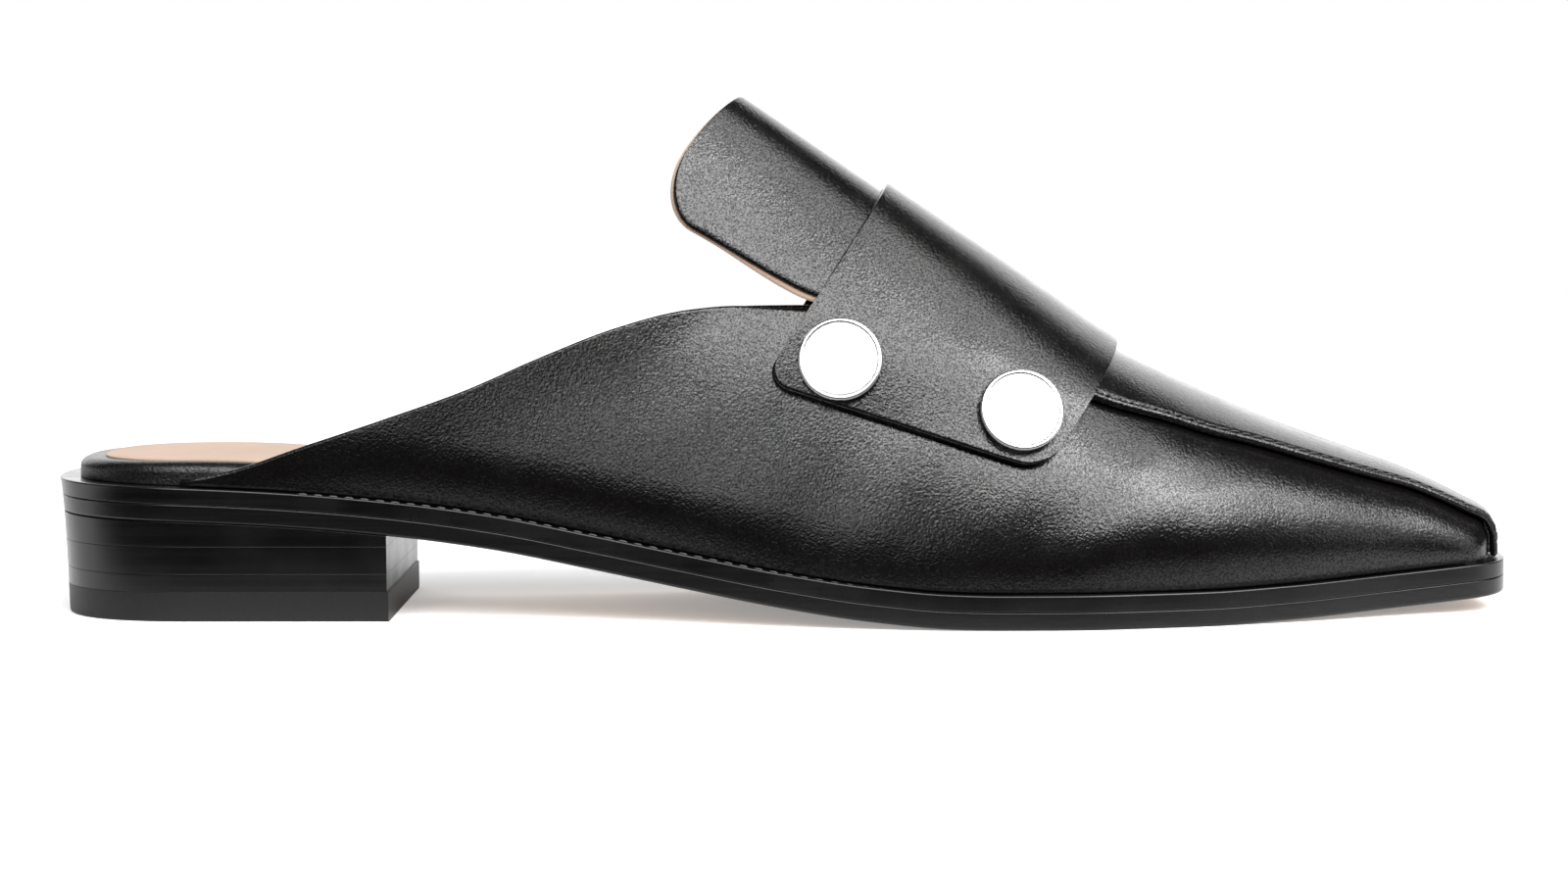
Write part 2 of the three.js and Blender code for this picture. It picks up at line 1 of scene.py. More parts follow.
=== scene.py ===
import bmesh
import bpy
import numpy as np
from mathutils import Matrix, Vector


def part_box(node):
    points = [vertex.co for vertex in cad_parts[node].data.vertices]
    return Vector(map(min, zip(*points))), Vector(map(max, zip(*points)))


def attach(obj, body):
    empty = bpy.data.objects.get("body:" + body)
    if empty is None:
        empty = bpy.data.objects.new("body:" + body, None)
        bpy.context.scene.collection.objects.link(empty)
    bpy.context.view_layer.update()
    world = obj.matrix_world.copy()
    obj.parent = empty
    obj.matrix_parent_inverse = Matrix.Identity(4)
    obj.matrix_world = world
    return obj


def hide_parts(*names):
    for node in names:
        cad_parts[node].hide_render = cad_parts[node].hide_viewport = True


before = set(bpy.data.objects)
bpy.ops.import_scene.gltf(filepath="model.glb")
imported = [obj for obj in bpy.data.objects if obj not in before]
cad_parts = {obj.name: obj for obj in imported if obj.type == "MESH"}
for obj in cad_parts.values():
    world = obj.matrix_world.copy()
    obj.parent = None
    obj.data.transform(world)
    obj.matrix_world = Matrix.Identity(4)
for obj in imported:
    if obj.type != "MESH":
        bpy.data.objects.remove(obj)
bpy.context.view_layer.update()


# ---- outsole ----
# A flat leather sole cut to the plan of the last. Its trimmed edge is inked black, its underside
# is left natural and lightly polished, and it is glued and stitched to the midsole above it.

MM = 0.001
HEEL_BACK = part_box("outsole")[0][0] / MM
SHOE_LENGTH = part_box("outsole")[1][0] / MM - HEEL_BACK
BALL_WIDTH = 82
HEEL_RISE = 26
MIDSOLE = 3
OUTSOLE = 3.2
LAYER_GAP = 0.3
SOLE = OUTSOLE + LAYER_GAP + MIDSOLE
BREAST = 65.7

HEEL_CENTRE, HEEL_SQUARE = 10.5, 2.5
TOE_CENTRE, TOE_SQUARE, TOE_TAPER = 96.5, 3.2, 0.19
# How far the heel seat and the heel draw in from the rim down to the ground, at side and back.
HEEL_DRAWN_SIDE, HEEL_DRAWN_BACK, HEEL_HOLLOW = 1.0, 1.6, 0.55
END_STEPS, SIDE_STEPS = 26, 130
ACROSS_STEPS = 9
CORNER_STEPS = 5
WALL_SHARES = (0.03, 0.1, 0.3, 0.5, 0.7, 0.9, 0.97)


def table(columns, *rows):
    """A short table whose columns are read by name."""
    return np.array(list(rows), dtype=[(column, float) for column in columns.split()])


# Half-widths from the centre line in percent of the ball width, at a percent of the length.
PLAN = table(
    "at lateral medial",
    (10.5, 34.5, 34.5),
    (23.5, 34.4, 32.4),
    (32.0, 35.8, 31.0),
    (40.0, 38.6, 31.4),
    (48.0, 43.4, 36.3),
    (55.0, 47.4, 43.0),
    (62.0, 49.3, 48.4),
    (68.5, 48.8, 50.6),
    (75.5, 44.2, 48.6),
    (83.5, 35.4, 41.0),
    (91.5, 24.8, 32.4),
    (96.5, 19.2, 27.0),
)

# Height of the underside in percent of its height at the heel seat.
UNDERSIDE = table(
    "at rise",
    (0, 100),
    (11, 95.5),
    (17.5, 90.5),
    (23.5, 83),
    (30.5, 70.5),
    (37, 53),
    (43.5, 35),
    (50, 18.5),
    (56, 7),
    (61, 1.2),
    (64.5, 0),
    (78, 0),
    (84, 2.6),
    (90, 7.5),
    (97, 14.5),
    (100, 18),
)


def curve(rows, key, column):
    """A smooth curve through one column against another that never overshoots its rows: a cubic
    between each two rows, whose slope at a row is the harmonic mean of the slopes beside it."""
    x, y = rows[key], rows[column]
    step = np.diff(x)
    slope = np.diff(y) / step
    tangent = np.zeros(len(x))
    tangent[0], tangent[-1] = slope[0], slope[-1]
    before, after = step[:-1], step[1:]
    rising = slope[:-1] * slope[1:] > 0
    safe = np.where(slope == 0, 1, slope)
    weighted = (2 * after + before) / safe[:-1] + (after + 2 * before) / safe[1:]
    mean = 3 * (before + after) / weighted
    tangent[1:-1] = np.where(rising, mean, 0)

    def through(value):
        here = np.clip(value, x[0], x[-1])
        i = np.clip(np.searchsorted(x, here) - 1, 0, len(step) - 1)
        u = (here - x[i]) / step[i]
        bend = tangent[i] * (1 - u) - tangent[i + 1] * u
        return y[i] + (y[i + 1] - y[i]) * u * u * (3 - 2 * u) + step[i] * u * (1 - u) * bend

    return through


def lengthwise(rows, column, whole):
    """A table's column as a curve over millimetres from the back of the heel."""
    through = curve(rows, "at", column)
    return lambda x: through(x * 100 / SHOE_LENGTH) * whole / 100


sole_lateral = lengthwise(PLAN, "lateral", BALL_WIDTH)
sole_medial = lengthwise(PLAN, "medial", BALL_WIDTH)
sole_bottom = lengthwise(UNDERSIDE, "rise", HEEL_RISE - SOLE)
CENTRE_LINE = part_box("outsole")[0][1] / MM + sole_lateral(np.linspace(0, SHOE_LENGTH, 2000)).max()


def sole_top(x):
    """Height of the midsole's top."""
    return sole_bottom(x) + SOLE


def sole_split(x):
    """Height of the line between outsole and midsole, halfway up the gap between their solids."""
    return sole_bottom(x) + OUTSOLE + LAYER_GAP / 2


def smoothstep(value, start, end):
    """0 before start and 1 past end, with a soft S between them."""
    u = np.clip((value - start) / (end - start), 0, 1)
    return u * u * (3 - 2 * u)


def drawn_in(x, z):
    """The share of the heel's draw at a place: a hollow curve from the rim to the ground, which
    fades out along the waist."""
    down = np.clip(1 - z / HEEL_RISE, 0, 1) ** HEEL_HOLLOW
    return down * (1 - smoothstep(x, BREAST - 6, BREAST + 26))


def side_places(end):
    """Places along one side of the sole from heel to toe, as x, the share of the half-width that
    is kept there, how far into the heel's or the toe's end they lie, and the x of their width."""
    centre, toe = HEEL_CENTRE * SHOE_LENGTH / 100, TOE_CENTRE * SHOE_LENGTH / 100
    turn = np.linspace(0, np.pi / 2, END_STEPS)
    heel_reach = np.cos(turn) ** (2 / HEEL_SQUARE)
    heel_keep = np.sin(turn) ** (2 / HEEL_SQUARE)
    side = np.linspace(centre, min(end, toe), SIDE_STEPS)[1:]
    if end <= toe:
        reach = np.concatenate([-heel_reach, np.zeros(len(side))])
        keep = np.concatenate([heel_keep, np.ones(len(side))])
        return np.concatenate([np.full(END_STEPS, centre), side]), reach, keep
    toe_reach = np.sin(turn)[1:] ** (2 / TOE_SQUARE)
    toe_keep = np.cos(turn)[1:].clip(0) ** (2 / TOE_SQUARE) * (1 - TOE_TAPER * toe_reach)
    toe_keep[-1] = 0
    reach = np.concatenate([-heel_reach, np.zeros(len(side)), toe_reach])
    keep = np.concatenate([heel_keep, np.ones(len(side)), toe_keep])
    along = np.concatenate([np.full(END_STEPS, centre), side, np.full(len(toe_reach), toe)])
    return along, reach, keep


def outline(inset, back=0, front=0, end=np.inf, height=None):
    """A ring round the sole, drawn in by an inset, from the front of the lateral side round the
    heel to the front of the medial side: a blunt superellipse at the heel, the plan along the
    sides and a squarer superellipse at the toe. back and front draw its ends in further. Where a
    height is given, the ring follows the heel's hollow back."""
    base, reach, keep = side_places(end)
    plain = base + np.where(reach < 0, reach * base, reach * (SHOE_LENGTH - base))
    drawn = 0 if height is None else drawn_in(plain, height(plain))
    back_room = base - inset - back - drawn * HEEL_DRAWN_BACK
    front_room = SHOE_LENGTH - inset - front - base
    x = base + np.where(reach < 0, reach * back_room, reach * front_room)
    half = ((sole_medial(base) + sole_lateral(base)) / 2 - inset - drawn * HEEL_DRAWN_SIDE) * keep
    centre = (sole_medial(base) - sole_lateral(base)) / 2
    along = np.concatenate([x[::-1], x[1:]])
    across = np.concatenate([-half[::-1], half[1:]])
    return along, across, np.concatenate([centre[::-1], centre[1:]])


def trimmed_edge(low, high, thick):
    """Insets and heights up a trimmed edge: a quarter circle of the low radius, a straight, and
    a quarter circle of the high radius."""
    turn = np.linspace(0, np.pi / 2, CORNER_STEPS)
    straight = low + (thick - low - high) * np.array(WALL_SHARES)
    inset = np.concatenate([low * (1 - np.sin(turn)), 0 * straight, high * (1 - np.cos(turn))])
    rise = np.concatenate([low * (1 - np.cos(turn)), straight, thick - high * (1 - np.sin(turn))])
    return inset, rise / thick


def slab(edge, bottom, top, back=0, front=0, inset=0, end=np.inf, hollow=False):
    """Rings of a flat layer, from the middle of its underside outwards, up its edge, and back to
    the middle of its top."""
    shares = np.linspace(0, 1, ACROSS_STEPS)[:-1]
    rings = []

    def ring(edge_inset, rise, share):
        def height(x):
            return bottom(x) + (top(x) - bottom(x)) * rise

        shape = height if hollow else None
        x, across, centre = outline(inset + edge_inset, back, front, end, shape)
        rings.append(np.stack([x, centre + across * share, height(x)], axis=-1))

    for share in shares:
        ring(edge[0][0], 0, share)
    for edge_inset, rise in zip(*edge):
        ring(edge_inset, rise, 1)
    for share in shares[::-1]:
        ring(edge[0][-1], 1, share)
    return np.array(rings)


def grid_faces(rows, columns):
    """Four-sided faces between the neighbouring points of a grid."""
    index = np.arange(rows * columns).reshape(rows, columns)
    corners = [index[:-1, :-1], index[:-1, 1:], index[1:, 1:], index[1:, :-1]]
    return np.stack(corners, axis=-1).reshape(-1, 4)


def slab_faces(rings):
    """Faces of a slab: its grid, and the strip that closes its front between first and last."""
    rows, columns = rings.shape[:2]
    first = np.arange(rows) * columns
    last = first + columns - 1
    front = np.stack([first[:-1], first[1:], last[1:], last[:-1]], axis=-1)
    edge = slice(ACROSS_STEPS - 1, rows - ACROSS_STEPS)
    return np.concatenate([grid_faces(rows, columns), front[edge]])


SHARP_ANGLE = np.radians(50)


def put_mesh(name, points, faces, material, **attributes):
    """Makes a piece from points in millimetres from the back of the heel, the centre line and the
    ground. Points that meet are merged, and the faces turned outwards."""
    placed = (points.reshape(-1, 3) + [HEEL_BACK, CENTRE_LINE, 0]) * MM
    mesh = bpy.data.meshes.new(name)
    mesh.from_pydata(placed.tolist(), [], faces.tolist())
    for key, values in attributes.items():
        attribute = mesh.attributes.new(key, "FLOAT", "POINT")
        attribute.data.foreach_set("value", np.asarray(values, dtype=np.float32).ravel())
    shell = bmesh.new()
    shell.from_mesh(mesh)
    bmesh.ops.remove_doubles(shell, verts=shell.verts, dist=2e-7)
    bmesh.ops.dissolve_degenerate(shell, edges=shell.edges, dist=1e-8)
    bmesh.ops.recalc_face_normals(shell, faces=shell.faces)
    shell.to_mesh(mesh)
    shell.free()
    mesh.shade_smooth()
    mesh.set_sharp_from_angle(angle=SHARP_ANGLE)
    mesh.materials.append(material)
    piece = bpy.data.objects.new(name, mesh)
    bpy.context.scene.collection.objects.link(piece)
    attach(piece, "root")
    return piece


class Shader:
    """A procedural material on the piece's own coordinates, built up node by node."""

    def __init__(self, name):
        self.material = bpy.data.materials.new(name)
        self.material.use_nodes = True
        self.tree = self.material.node_tree
        self.surface = self.tree.nodes["Principled BSDF"]
        self.place = self.tree.nodes.new("ShaderNodeTexCoord").outputs["Object"]

    def add(self, kind, inputs, output=0, **settings):
        """Adds a node with these settings, fills its inputs and returns one of its outputs."""
        node = self.tree.nodes.new("ShaderNode" + kind)
        for key, value in settings.items():
            setattr(node, key, value)
        for key, value in inputs.items():
            if isinstance(value, bpy.types.NodeSocket):
                self.tree.links.new(value, node.inputs[key])
            else:
                node.inputs[key].default_value = value
        return node.outputs[output]

    def stretched(self, x, y, z):
        """The piece's coordinates, scaled along each axis."""
        return self.add("Mapping", {"Vector": self.place, "Scale": (x, y, z)})

    def noise(self, scale, detail=2.0, vector=None, roughness=0.5):
        """Soft random values from 0 to 1."""
        place = vector or self.place
        inputs = {"Vector": place, "Scale": scale, "Detail": detail, "Roughness": roughness}
        return self.add("TexNoise", inputs)

    def spread(self, value, low, high, start=0.0, end=1.0):
        """Values between low and high stretched to run from start to end."""
        inputs = {"Value": value, "From Min": low, "From Max": high, "To Min": start, "To Max": end}
        return self.add("MapRange", inputs)

    def blend(self, share, first, second):
        """A colour between two colours."""
        inputs = {"Factor": share, "A": first, "B": second}
        return self.add("Mix", inputs, output=2, data_type="RGBA")

    def sum(self, first, second, share):
        """The first value plus a share of the second."""
        return self.add("Math", {0: second, 1: share, 2: first}, operation="MULTIPLY_ADD")

    def bump(self, height, depth, under=None):
        """A surface raised by a height from 0 to 1 to this depth in millimetres."""
        inputs = {"Height": height, "Distance": depth * MM, "Strength": 1.0}
        if under:
            inputs["Normal"] = under
        return self.add("Bump", inputs)

    def finish(self, **inputs):
        """Fills the surface's own inputs and returns the material."""
        for key, value in inputs.items():
            socket = self.surface.inputs[key.replace("_", " ")]
            if isinstance(value, bpy.types.NodeSocket):
                self.tree.links.new(value, socket)
            else:
                socket.default_value = value
        return self.material


NATURAL_LIGHT = (0.56, 0.36, 0.21, 1)
NATURAL_DARK = (0.43, 0.25, 0.13, 1)
INK_DARK = (0.0012, 0.0011, 0.0011, 1)
INK_WORN = (0.0052, 0.0047, 0.0047, 1)


def inked_edge(shader, layers_per_metre=1500):
    """Colour, roughness and grooves of a stack of leather cut across, inked and burnished: fine
    streaks that run level round the edge."""
    streaks = shader.noise(1, 4.0, shader.stretched(26, 26, layers_per_metre), 0.62)
    blotches = shader.noise(90, 3.0)
    colour = shader.blend(shader.spread(streaks, 0.42, 0.72), INK_DARK, INK_WORN)
    roughness = shader.spread(blotches, 0.3, 0.7, 0.2, 0.3)
    return colour, roughness, shader.bump(streaks, 0.008)


def natural_sole():
    """Vegetable-tanned sole leather with mottled grain, inked where the ink attribute is 1."""
    shader = Shader("natural_sole_leather")
    ink = shader.add("Attribute", {}, output=2, attribute_name="ink")
    mottle = shader.noise(35, 6.0, roughness=0.6)
    fibre = shader.noise(1, 5.0, shader.stretched(120, 900, 900), 0.6)
    bare = shader.blend(shader.spread(mottle, 0.35, 0.65), NATURAL_DARK, NATURAL_LIGHT)
    edge_colour, _, grooves = inked_edge(shader)
    colour = shader.blend(ink, bare, edge_colour)
    roughness = shader.spread(ink, 0, 1, 0.42, 0.26)
    normal = shader.bump(fibre, 0.03, grooves)
    return shader.finish(Base_Color=colour, Roughness=roughness, Normal=normal)


SOLE_CORNER = 0.55
SEAM_CORNER = 0.16

outsole_rings = slab(
    trimmed_edge(SOLE_CORNER, SEAM_CORNER, OUTSOLE),
    sole_bottom,
    lambda x: sole_split(x) - 0.04,
    hollow=True,
)
ring_count, ring_size = outsole_rings.shape[:2]
ring_ink = smoothstep(np.arange(ring_count), ACROSS_STEPS - 2, ACROSS_STEPS)
outsole = put_mesh(
    "outsole_leather",
    outsole_rings,
    slab_faces(outsole_rings),
    natural_sole(),
    ink=np.repeat(ring_ink, ring_size),
)
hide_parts("outsole")


# ---- midsole ----
# A second leather layer, trimmed flush with the outsole and inked with it. Its top shows as a
# narrow ledge round the upper, where a line of waxed thread holds the layers together.


def sole_edge_finish():
    """The inked and burnished edge."""
    shader = Shader("inked_sole_edge")
    colour, roughness, normal = inked_edge(shader)
    return shader.finish(Base_Color=colour, Roughness=roughness, Normal=normal)


midsole_rings = slab(
    trimmed_edge(SEAM_CORNER, 0.3, MIDSOLE),
    lambda x: sole_split(x) + 0.04,
    sole_top,
    hollow=True,
)
midsole = put_mesh("midsole_ledge", midsole_rings, slab_faces(midsole_rings), sole_edge_finish())
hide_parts("midsole")

THREAD_SIDES, THREAD_STEPS = 8, 7
LEDGE_STITCH = {"pitch": 2.9, "length": 2.1, "radius": 0.2, "sunk": 0.07}
LEDGE_STITCH_INSET = 0.75
LEDGE_STITCH_START = 46
LEDGE_STITCH_SINKS = 0.3


def unit(vectors):
    """Vectors scaled to length 1."""
    return vectors / np.linalg.norm(vectors, axis=-1, keepdims=True)


def stitches(path, up, pitch, length, radius, sunk, slant=0.0):
    """Threads of a stitched line: each runs a length of the path and dips into the leather at its
    ends, lying up to sunk below the path. slant turns each one across the path, in radians."""
    run = np.concatenate([[0], np.cumsum(np.linalg.norm(np.diff(path, axis=0), axis=1))])
    middles = np.arange(pitch, run[-1] - pitch / 2, pitch)
    share = np.linspace(-0.5, 0.5, THREAD_STEPS)

    def sample(values, at):
        return np.stack([np.interp(at, run, values[:, k]) for k in range(3)], axis=-1)

    turn = np.interp(middles, run, np.broadcast_to(slant, run.shape))[:, None]
    along = middles[:, None] + length * np.cos(turn) * share
    spine = sample(path, along)
    normal = unit(sample(up, along))
    ahead = unit(sample(path, along + 0.3) - sample(path, along - 0.3))
    side = unit(np.cross(normal, ahead))
    spine = spine + side * (length * np.sin(turn) * share)[..., None]
    dip = (radius + 2 * sunk) * (2 * np.abs(share)) ** 4
    spine = spine + normal * (radius * 0.5 - sunk - dip)[:, None]
    across = unit(side * np.cos(turn)[..., None] - ahead * np.sin(turn)[..., None])
    thick = radius * np.sqrt(1 - (1.9 * share) ** 4 * 0.9).clip(0.05)
    angle = np.linspace(0, 2 * np.pi, THREAD_SIDES + 1)[:, None]
    ring = across[:, :, None] * np.cos(angle) + normal[:, :, None] * np.sin(angle)
    points = spine[:, :, None] + ring * thick[:, None, None]
    faces = grid_faces(THREAD_STEPS, THREAD_SIDES + 1)
    start = np.arange(THREAD_SIDES)
    caps = np.concatenate([start[::-1], start + (THREAD_STEPS - 1) * (THREAD_SIDES + 1)])
    offset = np.arange(len(middles))[:, None, None] * THREAD_STEPS * (THREAD_SIDES + 1)
    bodies = (faces[None] + offset).reshape(-1, 4)
    ends = (caps.reshape(1, 2, THREAD_SIDES) + offset).reshape(-1, THREAD_SIDES)
    return points, bodies, ends


def put_stitches(name, lines, material):
    """One piece from the threads of several stitched lines."""
    points, faces, start = [], [], 0
    for line_points, bodies, ends in lines:
        points.append(line_points.reshape(-1, 3))
        faces += (bodies + start).tolist() + (ends + start).tolist()
        start += len(points[-1])
    return put_mesh(name, np.concatenate(points), np.array(faces, dtype=object), material)


def thread_finish(name, colour):
    """Twisted and waxed thread: fine slanting plies, coloured darker in the grooves between them
    as painted shade, and a soft shine.
    """
    shader = Shader(name)
    plies = shader.noise(1, 2.0, shader.stretched(3800, 2600, 3200))
    # The grooves between the plies are coloured darker: painted shade.
    painted_ply_shade = tuple(0.45 * channel for channel in colour[:3]) + (1,)
    shade = shader.blend(plies, painted_ply_shade, colour)
    return shader.finish(Base_Color=shade, Roughness=0.42, Normal=shader.bump(plies, 0.05))


ledge_x, ledge_across, ledge_centre = outline(LEDGE_STITCH_INSET)
ledge_path = np.stack([ledge_x, ledge_centre + ledge_across, sole_top(ledge_x)], axis=-1)
ledge_path = np.concatenate([ledge_path[len(ledge_x) // 2:], ledge_path[:len(ledge_x) // 2]])
ledge_path = ledge_path[ledge_path[:, 0] > LEDGE_STITCH_START]
ledge_path[:, 2] -= LEDGE_STITCH_SINKS * smoothstep(ledge_path[:, 0], 130, 175)
ledge_up = np.tile([0.0, 0.0, 1.0], (len(ledge_path), 1))
ledge_stitches = put_stitches(
    "ledge_stitching",
    [stitches(ledge_path, ledge_up, **LEDGE_STITCH)],
    thread_finish("waxed_sole_thread", (0.07, 0.065, 0.06, 1)),
)


# ---- heel ----
# A low block of leather lifts under the heel seat, trimmed with a hollow back, inked black and
# burnished, with a thin gap between lifts. The wear piece at the ground is rubber, a little greyer.

TOP_PIECE = 5.6
LOWER_LIFT = 9
MIDDLE_LIFT = 14.2
TOP_PIECE_PROUD = 0.3
LIFT_CORNER = 0.03
TOP_PIECE_CORNER = 0.45


def heel_finish():
    """Stacked leather, inked: level streaks, satin."""
    shader = Shader("inked_heel_stack")
    streaks = shader.noise(1, 5.0, shader.stretched(9, 9, 900), 0.68)
    fine = shader.noise(1, 3.0, shader.stretched(40, 40, 3600), 0.6)
    colour = shader.blend(shader.spread(streaks, 0.45, 0.75), INK_DARK, INK_WORN)
    roughness = shader.spread(shader.noise(120, 2.0), 0.3, 0.7, 0.19, 0.26)
    normal = shader.bump(fine, 0.003, shader.bump(streaks, 0.012))
    return shader.finish(Base_Color=colour, Roughness=roughness, Normal=normal)


def rubber_finish():
    """Moulded rubber, matte with a fine speckle."""
    shader = Shader("wear_rubber")
    speckle = shader.noise(900, 3.0)
    colour = shader.blend(speckle, (0.004, 0.0038, 0.0038, 1), (0.009, 0.0086, 0.0084, 1))
    normal = shader.bump(speckle, 0.03)
    return shader.finish(
        Base_Color=colour, Roughness=0.42, Specular_IOR_Level=0.35, Normal=normal
    )


heel_leather = heel_finish()
HEEL_LAYERS = [
    ("heel_top_piece", "top_piece", 0, TOP_PIECE, BREAST + TOP_PIECE_PROUD, TOP_PIECE_CORNER),
    ("heel_lift_lower", "heel", TOP_PIECE, LOWER_LIFT, BREAST, LIFT_CORNER),
    ("heel_lift_middle", "heel", LOWER_LIFT, MIDDLE_LIFT, BREAST, LIFT_CORNER),
    ("heel_lift_upper", "heel", MIDDLE_LIFT, None, BREAST, LIFT_CORNER),
]
for node, slot, low, high, breast, corner in HEEL_LAYERS:
    def layer_bottom(x, low=low):
        return np.full_like(x, low + 0.02 * (low > 0))

    def layer_top(x, high=high):
        return sole_bottom(x) - 0.03 if high is None else np.full_like(x, high - 0.02)

    edge = trimmed_edge(corner, LIFT_CORNER, (high or HEEL_RISE - SOLE) - low)
    rings = slab(edge, layer_bottom, layer_top, end=breast, hollow=True)
    finish = rubber_finish() if slot == "top_piece" else heel_leather
    lift = put_mesh(node + "_trimmed", rings, slab_faces(rings), finish)
    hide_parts(node)


# ---- footbed ----
# A padded insole board wrapped in black leather, its edge rolled. A sock lining of undyed
# leather is glued on top, a few millimetres inside the rolled edge.

LEDGE = 2.2
UPPER_WALL = 2
FOOTBED_INSET = LEDGE + UPPER_WALL + LAYER_GAP
FOOTBED_BACK = -0.6
FOOTBED_TOE = 1.5
FOOTBED_ROLL = 2.0
SOCK_MARGIN = 2.6
SOCK_BACK = 2.2
SOCK_THICK = 0.5

FOOTBED = table("at thick", (0, 3.6), (7, 4.3), (15, 4.9), (30, 4.6), (50, 4.0), (100, 3.2))
footbed_thickness = lengthwise(FOOTBED, "thick", 100)

GRAIN_WARP = 0.0004
# Grain cell tops take the lighter colour and the creases between them the darker one: painted shade
# in the creases.
LEATHER_BLACK = (0.0022, 0.0019, 0.0019, 1)
LEATHER_CELL_TOPS = (0.0042, 0.0036, 0.0037, 1)
LINING_LIGHT = (0.41, 0.285, 0.21, 1)
LINING_DARK = (0.36, 0.25, 0.18, 1)


def black_leather(name, grain, depth, roughness):
    """Chrome-tanned calf, dyed through: round grain cells of this size in millimetres, creased
    between them to this depth, with pores, slow changes in gloss and a faint waviness. The
    creases are coloured darker than the cell tops, as painted shade."""
    shader = Shader(name)
    drift = shader.noise(420, 2.0)
    warp_inputs = {0: drift, 1: (GRAIN_WARP,) * 3, 2: shader.place}
    warped = shader.add("VectorMath", warp_inputs, operation="MULTIPLY_ADD")
    cells = shader.add(
        "TexVoronoi",
        {"Vector": warped, "Scale": 1000 / grain, "Smoothness": 0.55, "Randomness": 1.0},
        feature="SMOOTH_F1",
    )
    pores = shader.noise(2200, 1.0, roughness=0.6)
    height = shader.sum(shader.spread(cells, 0.0, 0.75, 0.5, 0.0), pores, 1.6)
    specks = shader.noise(3000, 1.0)
    shine = shader.spread(specks, 0.35, 0.62, 0.22, 0.66)
    wave = shader.noise(60, 1.0)
    patches = shader.noise(160, 3.0)
    # Colour is darker in the creases between grain cells than on their tops: painted shade.
    colour = shader.blend(shader.spread(cells, 0.1, 0.7), LEATHER_CELL_TOPS, LEATHER_BLACK)
    gloss = shader.spread(patches, 0.25, 0.75, roughness - 0.04, roughness + 0.05)
    normal = shader.bump(height, depth, shader.bump(wave, 0.035))
    return shader.finish(
        Base_Color=colour, Roughness=gloss, Specular_IOR_Level=shine, Normal=normal
    )


def lining_leather(name):
    """Undyed lining leather: warm, matte, with fine pores and a soft mottle."""
    shader = Shader(name)
    mottle = shader.noise(55, 4.0, roughness=0.55)
    pores = shader.noise(1500, 3.0, roughness=0.6)
    colour = shader.blend(shader.spread(mottle, 0.3, 0.7), LINING_LIGHT, LINING_DARK)
    return shader.finish(Base_Color=colour, Roughness=0.62, Normal=shader.bump(pores, 0.06))


footbed_rings = slab(
    trimmed_edge(0.2, FOOTBED_ROLL, 4.6),
    lambda x: sole_top(x) + 0.05,
    lambda x: sole_top(x) + footbed_thickness(x),
    back=FOOTBED_BACK,
    front=FOOTBED_TOE,
    inset=FOOTBED_INSET,
)
footbed = put_mesh(
    "footbed_wrap",
    footbed_rings,
    slab_faces(footbed_rings),
    black_leather("footbed_leather", grain=0.8, depth=0.05, roughness=0.36),
)
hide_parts("insole")

sock_rings = slab(
    trimmed_edge(0.1, 0.22, SOCK_THICK),
    lambda x: sole_top(x) + footbed_thickness(x) - 0.15,
    lambda x: sole_top(x) + footbed_thickness(x) - 0.15 + SOCK_THICK,
    back=FOOTBED_BACK + SOCK_BACK,
    front=FOOTBED_TOE,
    inset=FOOTBED_INSET + SOCK_MARGIN,
)
sock = put_mesh("sock_lining", sock_rings, slab_faces(sock_rings), lining_leather("sock_leather"))


# ---- upper ----
# One piece of fine-grained calf lasted over vamp and quarters, cut low behind the instep and
# drawn to a point each side of the heel. It is lined, and its top line is rounded.

INSTEP_RISE = 97.5
TONGUE_ROW = 2
SWELL_HEIGHT = 14
SHORTEST_QUARTER = 1.2

# Sections of the upper, each in a plane that leans forward from foot to ridge: foot and ridge =
# places on feather line and top line, percent of the length, height = ridge height, percent of
# the instep rise, swells = how far the walls stand out past the feather line, square = exponent
# of the arch, taper = how much it narrows to its ridge, apron = half-width of the apron.
SECTIONS = table(
    "foot ridge height swell_lateral swell_medial square taper apron",
    (7.0, 25.7, 139.2, 0.6, 0.6, 2.05, 0, 19.9),
    (17.8, 36.2, 119.6, 1.4, 1.6, 2.05, 0, 19.9),
    (28.5, 46.6, 100.0, 2.4, 3.6, 2.05, 0, 19.9),
    (41.5, 56.4, 80.9, 2.4, 5.6, 2.15, 0, 22.9),
    (52.0, 64.6, 65.1, 1.2, 4.0, 2.2, 0, 24.4),
    (63.0, 72.8, 49.4, 0.8, 1.4, 2.2, 0, 24.5),
    (72.5, 78.4, 41.7, 1.1, 1.3, 2.2, 0, 22.8),
    (81.0, 83.9, 35.1, 1.5, 1.5, 2.35, 0, 19.2),
    (88.2, 89.3, 29.5, 1.6, 1.6, 2.45, 0, 15.8),
    (93.2, 93.3, 25.4, 1.3, 1.3, 2.6, 0.02, 13.2),
    (95.4, 97.0, 20.2, 0.6, 0.6, 2.75, 0.06, 12),
    (96.1, 98.4, 17.8, 0.2, 0.2, 2.9, 0.12, 11.4),
    (96.4, 98.9, 14.2, 0, 0, 3.05, 0.16, 11),
    (96.5, 98.9, 10.25, 0, 0, 3.2, 0.19, 11),
)

# Top line of the quarters: height of the lateral one, and drop = how much lower the medial is.
TOP_LINE = table(
    "at height drop",
    (7.5, 25.7, 4.6),
    (12.5, 28.1, 4.6),
    (18.0, 33.2, 4.4),
    (23.0, 37.9, 4.0),
    (28.5, 43.4, 3.6),
    (34.0, 50.2, 3.2),
    (39.0, 55.6, 2.8),
    (43.5, 58.8, 2.4),
    (47.0, 59.8, 2.0),
    (50.0, 59.1, 1.2),
    (53.0, 58.4, 0.4),
    (58.0, 58.8, 0),
    (70.0, 61.5, 0),
)
top_line_height = lengthwise(TOP_LINE, "height", 100)
top_line_drop = lengthwise(TOP_LINE, "drop", 100)

